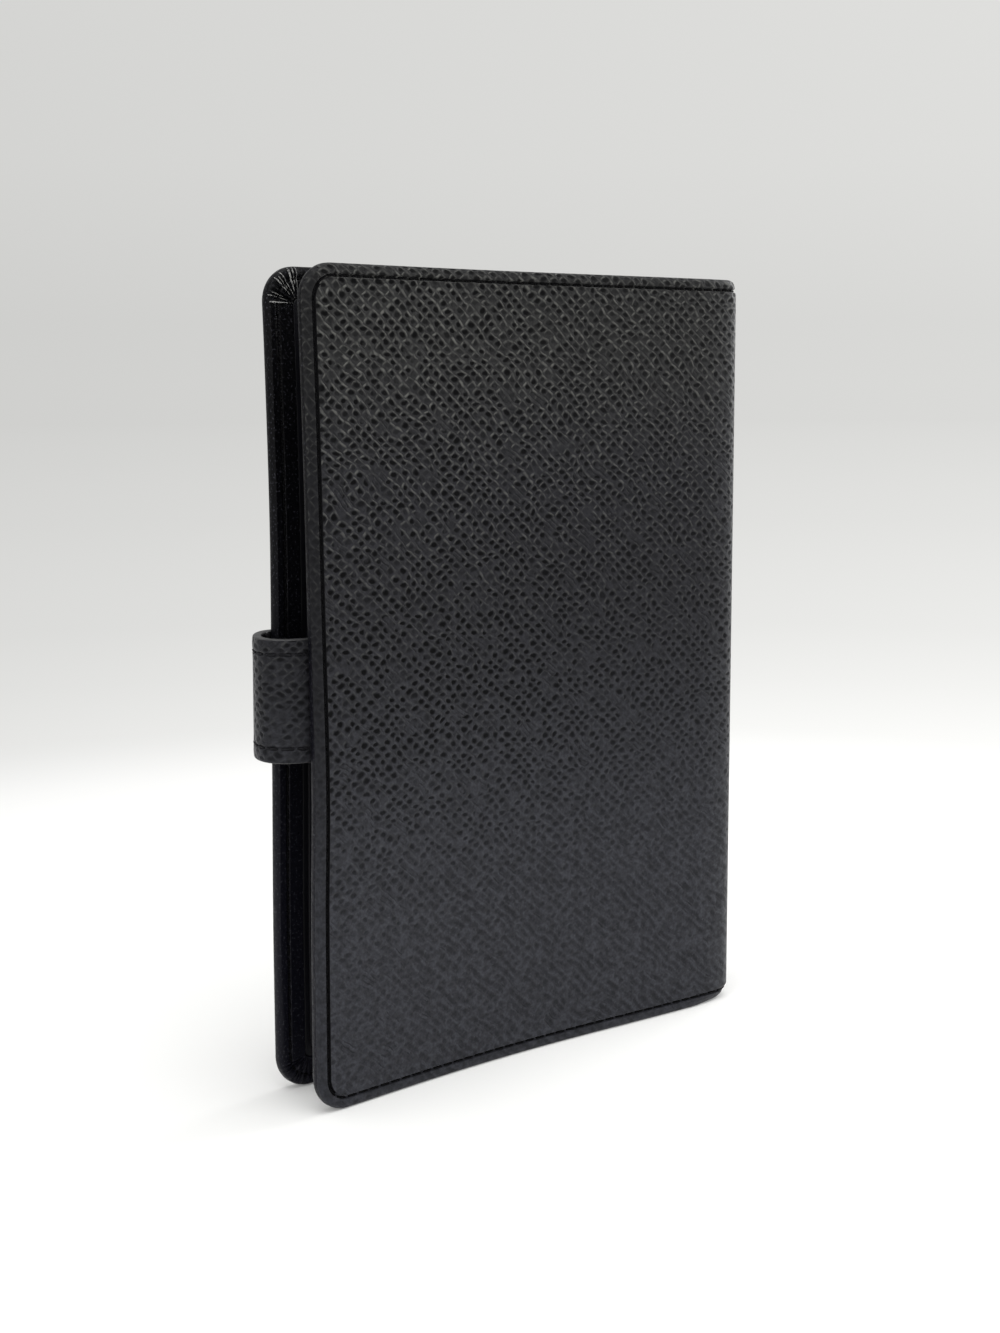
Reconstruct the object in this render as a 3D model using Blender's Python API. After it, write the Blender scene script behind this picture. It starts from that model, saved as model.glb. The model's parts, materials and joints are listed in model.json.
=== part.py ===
"""Ring agenda cover, closed and standing on its lower edge.

Metres, +Z up. The spine faces +X, the back cover faces -Y and the front cover +Y.
The origin is the middle of the footprint. A plan path carries every leather layer:
it starts at a cover's fore edge and runs along the bowed cover to the fold beside the spine.
"""

import math

import bmesh
import bpy
from mathutils import Matrix, Vector

# Closed cover
HEIGHT = 0.140
WIDTH = 0.100
SPINE_THICKNESS = 0.022
FORE_EDGE_THICKNESS = 0.0161
FRONT_SET_BACK = 0.0018
SPINE_RADIUS = 0.005
CORNER_RADIUS = 0.006
COVER_BOW = 0.0020
BOW_POWER_SPINE = 2.0
BOW_POWER_FORE = 1.6
GAP = 0.0003

# Layers of the covers and the spine
LEATHER = 0.0007
EDGE_ROUND = 0.0005
TURN_IN = 0.005
LINING = 0.0006
COVER_BOARD = 0.0005
SPINE_BOARD = 0.0009
BOARD_FOLD_MARGIN = 0.003

# Pockets and pen loop
POCKET_LEATHER = 0.0005
POCKET_FORE_MARGIN = 0.0060
POCKET_SPINE_MARGIN = 0.018
SLIP_POCKET_HEIGHT = 0.118
CARD_POCKET_TOPS = (0.074, 0.060, 0.046)
CARD_POCKET_DEPTH = 0.040
BACK_POCKET_FORE_MARGIN = 0.0165
PEN_LOOP_LEATHER = 0.0008
PEN_LOOP_BORE_WIDTH = 0.0078
PEN_LOOP_BORE_HEIGHT = 0.0062
PEN_LOOP_LENGTH = 0.020
PEN_LOOP_CENTRE = 0.0098
PEN_LOOP_MIDDLE_Z = 0.102
PEN_LOOP_SHOULDER = 0.25

# Strap
STRAP_WIDTH = 0.0204
STRAP_LEATHER = 0.0006
STRAP_TAB_LENGTH = 0.0105
STRAP_BULGE = 0.0048
STRAP_SKEW = 0.3
STRAP_TURN_INSET = 0.0025
STRAP_FLAP_LENGTH = 0.027
STRAP_RISE_LENGTH = 0.011

# Press stud
STUD_FLANGE_RADIUS = 0.0042
STUD_FLANGE = 0.0004
STUD_STEM_RADIUS = 0.0021
STUD_HEAD_RADIUS = 0.0025
STUD_HEIGHT = 0.0015
STUD_NECK_TOP = 0.4
STUD_BELLY_LOW = 0.6
STUD_BELLY_TOP = 0.85
STUD_BORE = 0.5
STUD_SHANK_RADIUS = 0.0008
POST_HEAD_RADIUS = 0.0040
SOCKET_RADIUS = 0.0047
SOCKET_WALL = 0.0004
CAP_RADIUS = 0.0060
CAP_HEIGHT = 0.0016
CAP_EDGE = 0.0005

# Ring mechanism
RING_COUNT = 6
RING_PITCH = 0.019
RING_BORE = 0.0096
RING_WIRE = 0.0018
RING_SEAT = 0.0045
HOUSING_WIDTH = 0.0136
HOUSING_SHEET = 0.0007
HOUSING_SIDE = 0.0023
HOUSING_CROWN = 0.0036
HOUSING_LIP = 0.0005
HOUSING_END_RADIUS = 0.004
HOUSING_MARGIN = 0.0045
LEAF_MARGIN = 0.0026
LEAF_SHEET = 0.0008
LEAF_LEVEL = 0.0017
LEAF_TILT = math.radians(8.0)
TIP_LAP = 0.0010
TENON_RADIUS = 0.0005
TENON_HEAD_RADIUS = 0.0008
TENON_HEAD = 0.0003
RIVET_MARGIN = 0.0015
RIVET_SHANK_RADIUS = 0.0011
RIVET_HEAD_RADIUS = 0.0026
RIVET_HEAD = 0.0011
RIVET_SHOULDER_RADIUS = 0.0020
RIVET_TAIL_RADIUS = 0.0019
RIVET_TAIL = 0.0004

# Fineness of the facets, and the angle from which an edge counts as sharp
COVER_STEPS = 10
FOLD_STEPS = 4
CORNER_STEPS = 6
LOOP_STEPS = 16
WIRE_SIDES = 10
RING_STEPS = 12
TURNED_SIDES = 24
RIVET_SIDES = 16
DOME_STEPS = 4
PATH_STEP = 0.00005
SPLIT_PASSES = 8
SHARP_ANGLE = math.radians(60)
SMOOTH_ANGLE = math.radians(35)

BACK = -1
FRONT = 1
MIDDLE_Z = HEIGHT / 2
FOLD_ANGLE = math.radians(45.0)

# Depths below the outer face of a cover and of the spine
BOARD_TOP = LEATHER + GAP
COVER_LINING_TOP = BOARD_TOP + COVER_BOARD + GAP
COVER_DEPTH = COVER_LINING_TOP + LINING
SPINE_LINING_TOP = BOARD_TOP + SPINE_BOARD + GAP
SPINE_DEPTH = SPINE_LINING_TOP + LINING

# The covers lean together from the spine's thickness to the fore edge's
REACH = WIDTH - SPINE_RADIUS
DROP = (SPINE_THICKNESS - FORE_EDGE_THICKNESS) / 2 - SPINE_RADIUS
LEAN = math.atan2(DROP, REACH) + math.asin(SPINE_RADIUS / math.hypot(REACH, DROP))
BACK_LENGTH = (REACH - SPINE_RADIUS * math.sin(LEAN)) / math.cos(LEAN)
COVER_LENGTH = {BACK: BACK_LENGTH, FRONT: BACK_LENGTH - FRONT_SET_BACK}
FOLD_LENGTH = SPINE_RADIUS * (math.pi / 2 + LEAN - FOLD_ANGLE)

STRAP_DEPTH = 2 * STRAP_LEATHER + GAP

# The leaves reach past the end rings, the rivets past the leaves and the housing past the rivets
LEAF_LENGTH = RING_PITCH * (RING_COUNT - 1) + RING_WIRE + 2 * LEAF_MARGIN
RIVET_SPACING = LEAF_LENGTH + 2 * (RIVET_MARGIN + RIVET_SHOULDER_RADIUS)
HOUSING_LENGTH = RIVET_SPACING + 2 * HOUSING_MARGIN


# Paths in plan

def arc_centre(side):
    return Vector((-SPINE_RADIUS, side * (SPINE_THICKNESS / 2 - SPINE_RADIUS)))


def spine_corner(side, angle):
    """Point and outward direction on the rounded corner, angle 0 on the spine's flat face."""
    out = Vector((math.cos(angle), side * math.sin(angle)))
    return arc_centre(side) + SPINE_RADIUS * out, out


def bow_shape(q):
    peak = BOW_POWER_SPINE / (BOW_POWER_SPINE + BOW_POWER_FORE)
    top = peak ** BOW_POWER_SPINE * (1 - peak) ** BOW_POWER_FORE
    q = min(max(q, 0.0), 1.0)
    return q ** BOW_POWER_SPINE * (1 - q) ** BOW_POWER_FORE / top


def cover_point(side, s):
    """Outer face of a cover, s measured from its fore edge towards the spine."""
    start, out = spine_corner(side, math.pi / 2 + LEAN)
    away = Vector((-math.cos(LEAN), -side * math.sin(LEAN)))
    t = COVER_LENGTH[side] - s
    return start + away * t - out * COVER_BOW * bow_shape(t / BACK_LENGTH)


def cover_frame(side, s):
    """Point and outward direction on a cover's path, which goes on round the fold."""
    if s > COVER_LENGTH[side]:
        turned = (s - COVER_LENGTH[side]) / SPINE_RADIUS
        return spine_corner(side, math.pi / 2 + LEAN - turned)
    ahead = cover_point(side, min(s + PATH_STEP, COVER_LENGTH[side]))
    behind = cover_point(side, s - PATH_STEP)
    along = (ahead - behind).normalized()
    return cover_point(side, s), Vector((-side * along.y, side * along.x))


def spread(start, stop, count):
    return [start + (stop - start) * i / count for i in range(count + 1)]


def cover_stations(side, start, stop):
    """Places along a cover's path, closer together round the fold."""
    flat_end = min(stop, COVER_LENGTH[side])
    places = spread(start, flat_end, COVER_STEPS)
    if stop > COVER_LENGTH[side]:
        places += spread(flat_end, stop, FOLD_STEPS)[1:]
    return places


def rounded_outline(side, inset, stop):
    """Stations and half heights of a cover's outline, drawn in from its edge by inset."""
    radius = max(CORNER_RADIUS - inset, EDGE_ROUND)
    half = HEIGHT / 2 - inset
    places, halves = [], []
    for i in range(CORNER_STEPS + 1):
        angle = math.pi / 2 * i / CORNER_STEPS
        places.append(inset + radius * (1 - math.cos(angle)))
        halves.append(half - radius * (1 - math.sin(angle)))
    for s in cover_stations(side, inset + radius, stop)[1:]:
        places.append(s)
        halves.append(half)
    return places, halves


# Solids

def new_object(name, bm):
    bmesh.ops.remove_doubles(bm, verts=bm.verts, dist=0.000001)
    bmesh.ops.recalc_face_normals(bm, faces=bm.faces)
    mesh = bpy.data.meshes.new(name)
    bm.to_mesh(mesh)
    bm.free()
    obj = bpy.data.objects.new(name, mesh)
    bpy.context.scene.collection.objects.link(obj)
    return obj


def loft(name, loops, round_edges=0.0, keep_ends=()):
    """Closed solid through loops of equal point counts.

    Its sharp edges are rounded on request, apart from those of the end loops in keep_ends.
    """
    bm = bmesh.new()
    rows = [[bm.verts.new(point) for point in loop] for loop in loops]
    count = len(rows[0])
    for low, high in zip(rows, rows[1:]):
        for i in range(count):
            j = (i + 1) % count
            bm.faces.new((low[i], low[j], high[j], high[i]))
    bm.faces.new(rows[0])
    bm.faces.new(rows[-1])
    if round_edges > 0:
        bmesh.ops.recalc_face_normals(bm, faces=bm.faces)
        kept = [set(rows[i]) for i in keep_ends]
        sharp = [e for e in bm.edges if e.calc_face_angle(0.0) > SHARP_ANGLE
                 and not any(set(e.verts) <= ring for ring in kept)]
        bmesh.ops.bevel(bm, geom=sharp, offset=round_edges, segments=2, profile=0.5,
                        affect='EDGES', clamp_overlap=True)
    return new_object(name, bm)


def ribbon(name, frames, shallow, deep, lows, highs, round_edges=0.0, keep_ends=()):
    """Layer between two depths along a plan path, with its lower and upper edge at each place."""
    loops = []
    for (point, out), low, high in zip(frames, lows, highs):
        face = point - out * shallow
        back = point - out * deep
        loops.append([(face.x, face.y, low), (face.x, face.y, high),
                      (back.x, back.y, high), (back.x, back.y, low)])
    return loft(name, loops, round_edges, keep_ends)


def prism(name, outline, low, high):
    """Solid with a plan outline between two heights."""
    return loft(name, [[(p[0], p[1], z) for p in outline] for z in (low, high)])


def turned(name, centre, axis, profile, sides=TURNED_SIDES):
    """Solid of revolution from (distance along the axis, radius) pairs."""
    turn = axis.to_track_quat('Z', 'Y')
    loops = []
    for height, radius in profile:
        loop = []
        for i in range(sides):
            angle = 2 * math.pi * i / sides
            local = Vector((radius * math.cos(angle), radius * math.sin(angle), height))
            loop.append(centre + turn @ local)
        loops.append(loop)
    return loft(name, loops)


def cut(target, *cutters):
    """Subtract each cutter from the target and remove it."""
    for cutter in cutters:
        cutter.hide_render = True
        cutter.display_type = 'WIRE'
        boolean = target.modifiers.new(cutter.name, 'BOOLEAN')
        boolean.operation = 'DIFFERENCE'
        boolean.solver = 'EXACT'
        boolean.object = cutter
    depsgraph = bpy.context.evaluated_depsgraph_get()
    finished = bpy.data.meshes.new_from_object(target.evaluated_get(depsgraph))
    target.modifiers.clear()
    target.data = finished
    for cutter in cutters:
        bpy.data.objects.remove(cutter)
    return target


# Covers

def cover_leather(name, side):
    """Outer leather of a cover: a face, a wall round three edges and a border turned in."""
    split = COVER_LENGTH[side] + FOLD_LENGTH - GAP / 2
    past = split + LEATHER
    places, halves = rounded_outline(side, 0.0, split)
    frames = [cover_frame(side, s) for s in places]
    lows = [MIDDLE_Z - h for h in halves]
    highs = [MIDDLE_Z + h for h in halves]
    leather = ribbon(name, frames, 0.0, COVER_DEPTH, lows, highs, EDGE_ROUND, keep_ends=(-1,))
    places, halves = rounded_outline(side, LEATHER, past)
    frames = [cover_frame(side, s) for s in places]
    lows = [MIDDLE_Z - h for h in halves]
    highs = [MIDDLE_Z + h for h in halves]
    hollow = ribbon(name + "_hollow", frames, LEATHER, COVER_LINING_TOP, lows, highs)
    places, halves = rounded_outline(side, TURN_IN, past)
    frames = [cover_frame(side, s) for s in places]
    lows = [MIDDLE_Z - h for h in halves]
    highs = [MIDDLE_Z + h for h in halves]
    window = ribbon(name + "_window", frames, BOARD_TOP, COVER_DEPTH + GAP, lows, highs)
    return cut(leather, hollow, window)


def cover_layer(name, side, inset, stop, shallow, deep):
    """Flat layer of a cover with the cover's own rounded outline, drawn in by inset."""
    places, halves = rounded_outline(side, inset, stop)
    frames = [cover_frame(side, s) for s in places]
    lows = [MIDDLE_Z - h for h in halves]
    highs = [MIDDLE_Z + h for h in halves]
    return ribbon(name, frames, shallow, deep, lows, highs)


def cover_board(name, side):
    stop = COVER_LENGTH[side] - BOARD_FOLD_MARGIN
    return cover_layer(name, side, BOARD_TOP, stop, BOARD_TOP, BOARD_TOP + COVER_BOARD)


def cover_lining(name, side):
    stop = COVER_LENGTH[side] + FOLD_LENGTH - GAP / 2
    return cover_layer(name, side, TURN_IN + GAP, stop, COVER_LINING_TOP, COVER_DEPTH)


def pocket(name, side, layer, fore_margin, low, high):
    """Pocket leather on the inside of a cover, in the stacking layer counted from the lining."""
    shallow = COVER_DEPTH + GAP + layer * (POCKET_LEATHER + GAP)
    places = cover_stations(side, fore_margin, COVER_LENGTH[side] - POCKET_SPINE_MARGIN)
    frames = [cover_frame(side, s) for s in places]
    return ribbon(name, frames, shallow, shallow + POCKET_LEATHER,
                  [low] * len(places), [high] * len(places))


def pen_loop(name):
    """Loop of leather with a flat base, sewn to the lining near the back cover's fore edge."""
    point, out = cover_frame(BACK, PEN_LOOP_CENTRE)
    base = point - out * (COVER_DEPTH + GAP)
    along = Vector((-out.y, out.x))
    low = PEN_LOOP_MIDDLE_Z - PEN_LOOP_LENGTH / 2
    high = PEN_LOOP_MIDDLE_Z + PEN_LOOP_LENGTH / 2

    def arch(width, floor, crown):
        """Arch outline over a flat base, its shoulders fuller than an ellipse."""
        shoulder = floor + (crown - floor) * PEN_LOOP_SHOULDER
        points = [(width / 2, floor)]
        for i in range(LOOP_STEPS + 1):
            angle = math.pi * i / LOOP_STEPS
            points.append((width / 2 * math.cos(angle), shoulder + (crown - shoulder) * math.sin(angle)))
        points.append((-width / 2, floor))
        return [base + along * u - out * v for u, v in points]

    outer_width = PEN_LOOP_BORE_WIDTH + 2 * PEN_LOOP_LEATHER
    outer_height = PEN_LOOP_BORE_HEIGHT + 2 * PEN_LOOP_LEATHER
    loop = prism(name, arch(outer_width, 0.0, outer_height), low, high)
    bore = prism(name + "_bore",
                 arch(PEN_LOOP_BORE_WIDTH, PEN_LOOP_LEATHER, PEN_LOOP_LEATHER + PEN_LOOP_BORE_HEIGHT),
                 low - GAP, high + GAP)
    return cut(loop, bore)


# Spine

def spine_frames(reach):
    """Path over the spine from corner to corner, each corner turned by reach in radians."""
    frames = [spine_corner(BACK, a) for a in spread(reach, 0.0, FOLD_STEPS)]
    frames += [spine_corner(FRONT, a) for a in spread(0.0, reach, FOLD_STEPS)]
    return frames


def spine_layer(name, reach, shallow, deep, low, high, round_edges=0.0):
    frames = spine_frames(reach)
    lows = [low] * len(frames)
    highs = [high] * len(frames)
    return ribbon(name, frames, shallow, deep, lows, highs, round_edges, keep_ends=(0, -1))


def spine_leather(name):
    """Outer leather of the spine, turned in over the board at the top and the bottom."""
    reach = FOLD_ANGLE - GAP / 2 / SPINE_RADIUS
    past = FOLD_ANGLE + LEATHER / SPINE_RADIUS
    leather = spine_layer(name, reach, 0.0, SPINE_DEPTH, 0.0, HEIGHT, EDGE_ROUND)
    hollow = spine_layer(name + "_hollow", past, LEATHER, SPINE_LINING_TOP, LEATHER, HEIGHT - LEATHER)
    window = spine_layer(name + "_window", past, BOARD_TOP, SPINE_DEPTH + GAP, TURN_IN, HEIGHT - TURN_IN)
    return cut(leather, hollow, window)


def rivet_holes(name, radius, near, far):
    """Cutters for the two rivets, between two depths below the spine's outer face."""
    holes = []
    for i, sign in enumerate((-1, 1)):
        centre = Vector((0.0, 0.0, MIDDLE_Z + sign * RIVET_SPACING / 2))
        holes.append(turned("%s_%d" % (name, i), centre, Vector((-1, 0, 0)),
                            ((near, radius), (far, radius))))
    return holes


def spine_board(name):
    half = SPINE_THICKNESS / 2 - SPINE_RADIUS
    frames = [(Vector((0.0, y)), Vector((1.0, 0.0))) for y in (-half, half)]
    low = LEATHER + GAP
    board = ribbon(name, frames, BOARD_TOP, BOARD_TOP + SPINE_BOARD,
                   [low] * 2, [HEIGHT - low] * 2)
    shank = rivet_holes("board_hole", RIVET_SHANK_RADIUS + GAP, LEATHER, SPINE_DEPTH)
    tail = rivet_holes("board_recess", RIVET_TAIL_RADIUS + GAP, LEATHER,
                       BOARD_TOP + RIVET_TAIL + GAP / 2)
    return cut(board, *shank, *tail)


def spine_lining(name):
    reach = FOLD_ANGLE - GAP / 2 / SPINE_RADIUS
    low = TURN_IN + GAP
    lining = spine_layer(name, reach, SPINE_LINING_TOP, SPINE_DEPTH, low, HEIGHT - low)
    holes = rivet_holes("lining_hole", RIVET_SHANK_RADIUS + GAP, BOARD_TOP, SPINE_DEPTH + GAP)
    return cut(lining, *holes)


# Ring mechanism, drawn as (y, d) with d the distance from the spine lining's face

RING_RADIUS = (RING_BORE + RING_WIRE) / 2
PIVOT_Y = HOUSING_WIDTH / 2 - HOUSING_SHEET - GAP - LEAF_SHEET / 4
LEAF_EDGE_Y = HOUSING_WIDTH / 2 - HOUSING_SHEET - GAP
SEAT_LEVEL = LEAF_LEVEL - (PIVOT_Y - RING_SEAT) * math.tan(LEAF_TILT) + LEAF_SHEET / 2 + GAP
RING_CENTRE = SEAT_LEVEL + math.sqrt(RING_RADIUS ** 2 - RING_SEAT ** 2)


def mechanism_point(y, d, z):
    return Vector((-(SPINE_DEPTH + d), y, z))


def ring_heights():
    first = MIDDLE_Z - RING_PITCH * (RING_COUNT - 1) / 2
    return [first + RING_PITCH * i for i in range(RING_COUNT)]


def leaf_frame(side, y, above):
    """Point (y, d) on a leaf at rest: y from the middle, above its middle plane."""
    along = PIVOT_Y - y
    out = side * (PIVOT_Y - along * math.cos(LEAF_TILT) - above * math.sin(LEAF_TILT))
    return out, LEAF_LEVEL - along * math.sin(LEAF_TILT) + above * math.cos(LEAF_TILT)


def housing(name):
    """Arched steel cover with upright sides and rolled lips, notched where the rings pass."""
    half = HOUSING_WIDTH / 2
    base = GAP
    rise = HOUSING_CROWN - HOUSING_SIDE
    radius = (half ** 2 + rise ** 2) / (2 * rise)
    sweep = math.asin(half / radius)
    centre = base + HOUSING_CROWN - radius
    inner_radius = radius - HOUSING_SHEET
    inner_half = half - HOUSING_SHEET
    inner_sweep = math.asin(inner_half / inner_radius)
    profile = [(-half, base)]
    for i in range(FOLD_STEPS * 2 + 1):
        angle = sweep * (i / FOLD_STEPS - 1)
        profile.append((radius * math.sin(angle), centre + radius * math.cos(angle)))
    profile += [(half, base), (inner_half - HOUSING_LIP, base)]
    profile += [(inner_half - HOUSING_LIP, base + HOUSING_SHEET), (inner_half, base + HOUSING_SHEET)]
    for i in range(FOLD_STEPS * 2 + 1):
        angle = inner_sweep * (1 - i / FOLD_STEPS)
        profile.append((inner_radius * math.sin(angle), centre + inner_radius * math.cos(angle)))
    profile += [(-inner_half, base + HOUSING_SHEET), (HOUSING_LIP - inner_half, base + HOUSING_SHEET)]
    profile += [(HOUSING_LIP - inner_half, base)]
    low = MIDDLE_Z - HOUSING_LENGTH / 2
    high = MIDDLE_Z + HOUSING_LENGTH / 2
    shell = loft(name, [[mechanism_point(y, d, z) for y, d in profile] for z in (low, high)])

    def notch(index, side, z):
        reach = RING_WIRE / 2 + GAP
        inner = RING_SEAT - RING_WIRE / 2 - 2 * GAP
        outer = half + GAP
        floor = SEAT_LEVEL - GAP
        ceiling = base + HOUSING_CROWN + GAP
        corners = [(inner, floor), (outer, floor), (outer, ceiling), (inner, ceiling)]
        loops = [[mechanism_point(side * y, d, z + dz) for y, d in corners] for dz in (-reach, reach)]
        return loft("notch_%d_%d" % (index, side), loops)

    def end_corner(side, end):
        """Cutter that leaves a round corner on the housing's end, seen from the front."""
        middle = Vector((half - HOUSING_END_RADIUS, HOUSING_LENGTH / 2 - HOUSING_END_RADIUS))
        outline = [(half + GAP, HOUSING_LENGTH / 2 + GAP), (half + GAP, middle.y)]
        for angle in spread(0.0, math.pi / 2, CORNER_STEPS):
            outline.append(middle + HOUSING_END_RADIUS * Vector((math.cos(angle), math.sin(angle))))
        outline.append((middle.x, HOUSING_LENGTH / 2 + GAP))
        levels = (base - GAP, base + HOUSING_CROWN + GAP)
        loops = [[mechanism_point(side * y, d, MIDDLE_Z + end * z) for y, z in outline] for d in levels]
        return loft("end_corner_%d_%d" % (side, end), loops)

    notches = [notch(i, side, z) for i, z in enumerate(ring_heights()) for side in (BACK, FRONT)]
    corners = [end_corner(side, end) for side in (BACK, FRONT) for end in (-1, 1)]
    holes = rivet_holes("housing_hole", RIVET_SHANK_RADIUS + GAP,
                        SPINE_DEPTH + base + HOUSING_SIDE, SPINE_DEPTH + base + HOUSING_CROWN + GAP)
    return cut(shell, *notches, *holes, *corners)


def leaf(name, side):
    """Leaf plate at rest, dipped towards the middle, with a hole for each ring's tenon."""
    inner = GAP / 2 / math.cos(LEAF_TILT)
    half = LEAF_SHEET / 2
    corners = [leaf_frame(side, LEAF_EDGE_Y, -half), leaf_frame(side, LEAF_EDGE_Y, half),
               leaf_frame(side, inner, half), leaf_frame(side, inner, -half)]
    low = MIDDLE_Z - LEAF_LENGTH / 2
    high = MIDDLE_Z + LEAF_LENGTH / 2
    plate = loft(name, [[mechanism_point(y, d, z) for y, d in corners] for z in (low, high)])
    holes = []
    for i, z in enumerate(ring_heights()):
        bottom = mechanism_point(*leaf_frame(side, RING_SEAT, -LEAF_SHEET), z)
        top = mechanism_point(*leaf_frame(side, RING_SEAT, LEAF_SHEET), z)
        axis = (top - bottom).normalized()
        holes.append(turned("leaf_hole_%d" % i, bottom, axis,
                            ((0.0, TENON_RADIUS + GAP), ((top - bottom).length, TENON_RADIUS + GAP)),
                            WIRE_SIDES))
    return cut(plate, *holes)


def ring_half(name, side, z):
    """Half ring: tenon riveted under the leaf, foot cut to its slope, round wire, half-lapped tip."""
    foot = mechanism_point(*leaf_frame(side, RING_SEAT, LEAF_SHEET / 2 + GAP), z)
    normal = (foot - mechanism_point(*leaf_frame(side, RING_SEAT, 0.0), z)).normalized()
    up = Vector((0.0, 0.0, 1.0))
    beside = normal.cross(up) * side
    middle = mechanism_point(0.0, RING_CENTRE, z)
    inward = Vector((-1.0, 0.0, 0.0))
    start = math.asin((middle.x - foot.x) / (foot - middle).length)
    radius = (foot - middle).length

    def circle(centre, across, half_height, half_width):
        turns = [2 * math.pi * i / WIRE_SIDES for i in range(WIRE_SIDES)]
        return [centre + up * half_height * math.cos(a) + across * half_width * math.sin(a)
                for a in turns]

    head_low = -(2 * GAP + LEAF_SHEET + TENON_HEAD)
    head_high = head_low + TENON_HEAD
    steps = ((head_low, TENON_HEAD_RADIUS), (head_high, TENON_HEAD_RADIUS),
             (head_high, TENON_RADIUS), (0.0, TENON_RADIUS))
    loops = [circle(foot + normal * level, beside, size, size) for level, size in steps]
    wire = RING_WIRE / 2
    tip = math.pi / 2 + TIP_LAP / 2 / radius
    for angle in spread(-start, tip, RING_STEPS):
        outward = Vector((0.0, side, 0.0)) * math.cos(angle) + inward * math.sin(angle)
        if len(loops) == len(steps):
            loops.append(circle(foot, beside, wire, wire / abs(outward.cross(up).dot(normal))))
        else:
            loops.append(circle(middle + outward * radius, outward, wire, wire))
    ring = loft(name, loops)
    low, high = (z - GAP / 2, z + RING_WIRE) if side == BACK else (z - RING_WIRE, z + GAP / 2)
    near = TIP_LAP / 2 + GAP
    top = RING_CENTRE + RING_RADIUS
    corners = [(-side * near * 2, top - RING_WIRE), (side * near, top - RING_WIRE),
               (side * near, top + RING_WIRE), (-side * near * 2, top + RING_WIRE)]
    loops = [[mechanism_point(y, d, level) for y, d in corners] for level in (low, high)]
    return cut(ring, loft(name + "_step", loops))


def rivet(name, z):
    """Shouldered rivet: domed head on the housing, spacer, shank and a tail clenched in the board."""
    crown = SPINE_DEPTH + GAP + HOUSING_CROWN
    shoulder_top = crown - HOUSING_SHEET - GAP
    shoulder_low = SPINE_DEPTH + GAP
    head = crown + GAP
    profile = [(BOARD_TOP, RIVET_TAIL_RADIUS), (BOARD_TOP + RIVET_TAIL - GAP / 2, RIVET_TAIL_RADIUS),
               (BOARD_TOP + RIVET_TAIL - GAP / 2, RIVET_SHANK_RADIUS),
               (shoulder_low, RIVET_SHANK_RADIUS), (shoulder_low, RIVET_SHOULDER_RADIUS),
               (shoulder_top, RIVET_SHOULDER_RADIUS), (shoulder_top, RIVET_SHANK_RADIUS),
               (head, RIVET_SHANK_RADIUS)]
    for angle in spread(0.0, math.pi / 2, DOME_STEPS)[:-1]:
        profile.append((head + RIVET_HEAD * math.sin(angle), RIVET_HEAD_RADIUS * math.cos(angle)))
    return turned(name, Vector((0.0, 0.0, z)), Vector((-1, 0, 0)), profile, RIVET_SIDES)


# Strap

def strap_turn():
    """Centre and half axes of the strap's turn round the fore edges, before its skew."""
    back_s = STRAP_TURN_INSET
    back_point, back_out = cover_frame(BACK, back_s)
    tab = back_point - back_out * (COVER_DEPTH + GAP + STRAP_DEPTH / 2)
    front_s = STRAP_TURN_INSET - FRONT_SET_BACK
    front_point, front_out = cover_frame(FRONT, front_s)
    over = front_point + front_out * (GAP + STRAP_DEPTH / 2)
    centre = Vector((-WIDTH + STRAP_TURN_INSET, (tab.y + over.y) / 2))
    half_depth = (over.y - tab.y) / 2
    half_reach = STRAP_BULGE + STRAP_TURN_INSET - STRAP_DEPTH / 2
    return centre, half_reach, half_depth


def turn_reach(angle):
    """The strap springs out further beside the back cover than beside the front one."""
    return strap_turn()[1] * (1 - STRAP_SKEW * math.sin(angle))


def turn_heading(angle):
    """Way of the turn's middle line per radian."""
    centre, reach, depth = strap_turn()
    skewed = math.sin(angle) + STRAP_SKEW * math.cos(2 * angle)
    return Vector((reach * skewed, depth * math.cos(angle)))


def turn_frame(angle):
    """Middle line of the turn and its outward direction, angle -90 to +90 degrees."""
    centre, reach, depth = strap_turn()
    point = centre + Vector((-turn_reach(angle) * math.cos(angle), depth * math.sin(angle)))
    along = turn_heading(angle).normalized()
    return point, Vector((-along.y, along.x))


def split_angle():
    """Turn angle at which the strap leaves the back cover's fore edge."""
    angle = -math.pi / 4
    for _ in range(SPLIT_PASSES):
        angle = -math.acos((STRAP_TURN_INSET + GAP) / turn_reach(angle))
    return angle


def rise(v):
    """Gap between the front cover and the strap, which lifts over the press stud."""
    q = min(max(v / STRAP_RISE_LENGTH, 0.0), 1.0)
    return GAP + (SOCKET_TOP - GAP) * q * q * (3 - 2 * q)


def flap_frame(v):
    """Middle line of the flap, v measured along the front cover from the turn."""
    def middle(place):
        point, out = cover_frame(FRONT, STRAP_TURN_INSET - FRONT_SET_BACK + place)
        return point + out * (rise(place) + STRAP_DEPTH / 2)

    along = (middle(v + PATH_STEP) - middle(v - PATH_STEP)).normalized()
    return middle(v), Vector((-along.y, along.x))


STUD_TOP = GAP + STUD_FLANGE + STUD_HEIGHT
SOCKET_LOW = GAP + STUD_FLANGE + GAP
SOCKET_TOP = STUD_TOP + GAP + SOCKET_WALL + GAP
STUD_PLACE = STRAP_FLAP_LENGTH - STRAP_WIDTH / 2


def strap_stretch(name, frames, halves, outer_layer):
    """Leather or lining of one stretch of the strap, along frames on its middle line."""
    if outer_layer:
        shallow = -STRAP_DEPTH / 2
    else:
        shallow = STRAP_DEPTH / 2 - STRAP_LEATHER
    lows = [MIDDLE_Z - h for h in halves]
    highs = [MIDDLE_Z + h for h in halves]
    return ribbon(name, frames, shallow, shallow + STRAP_LEATHER, lows, highs)


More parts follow.
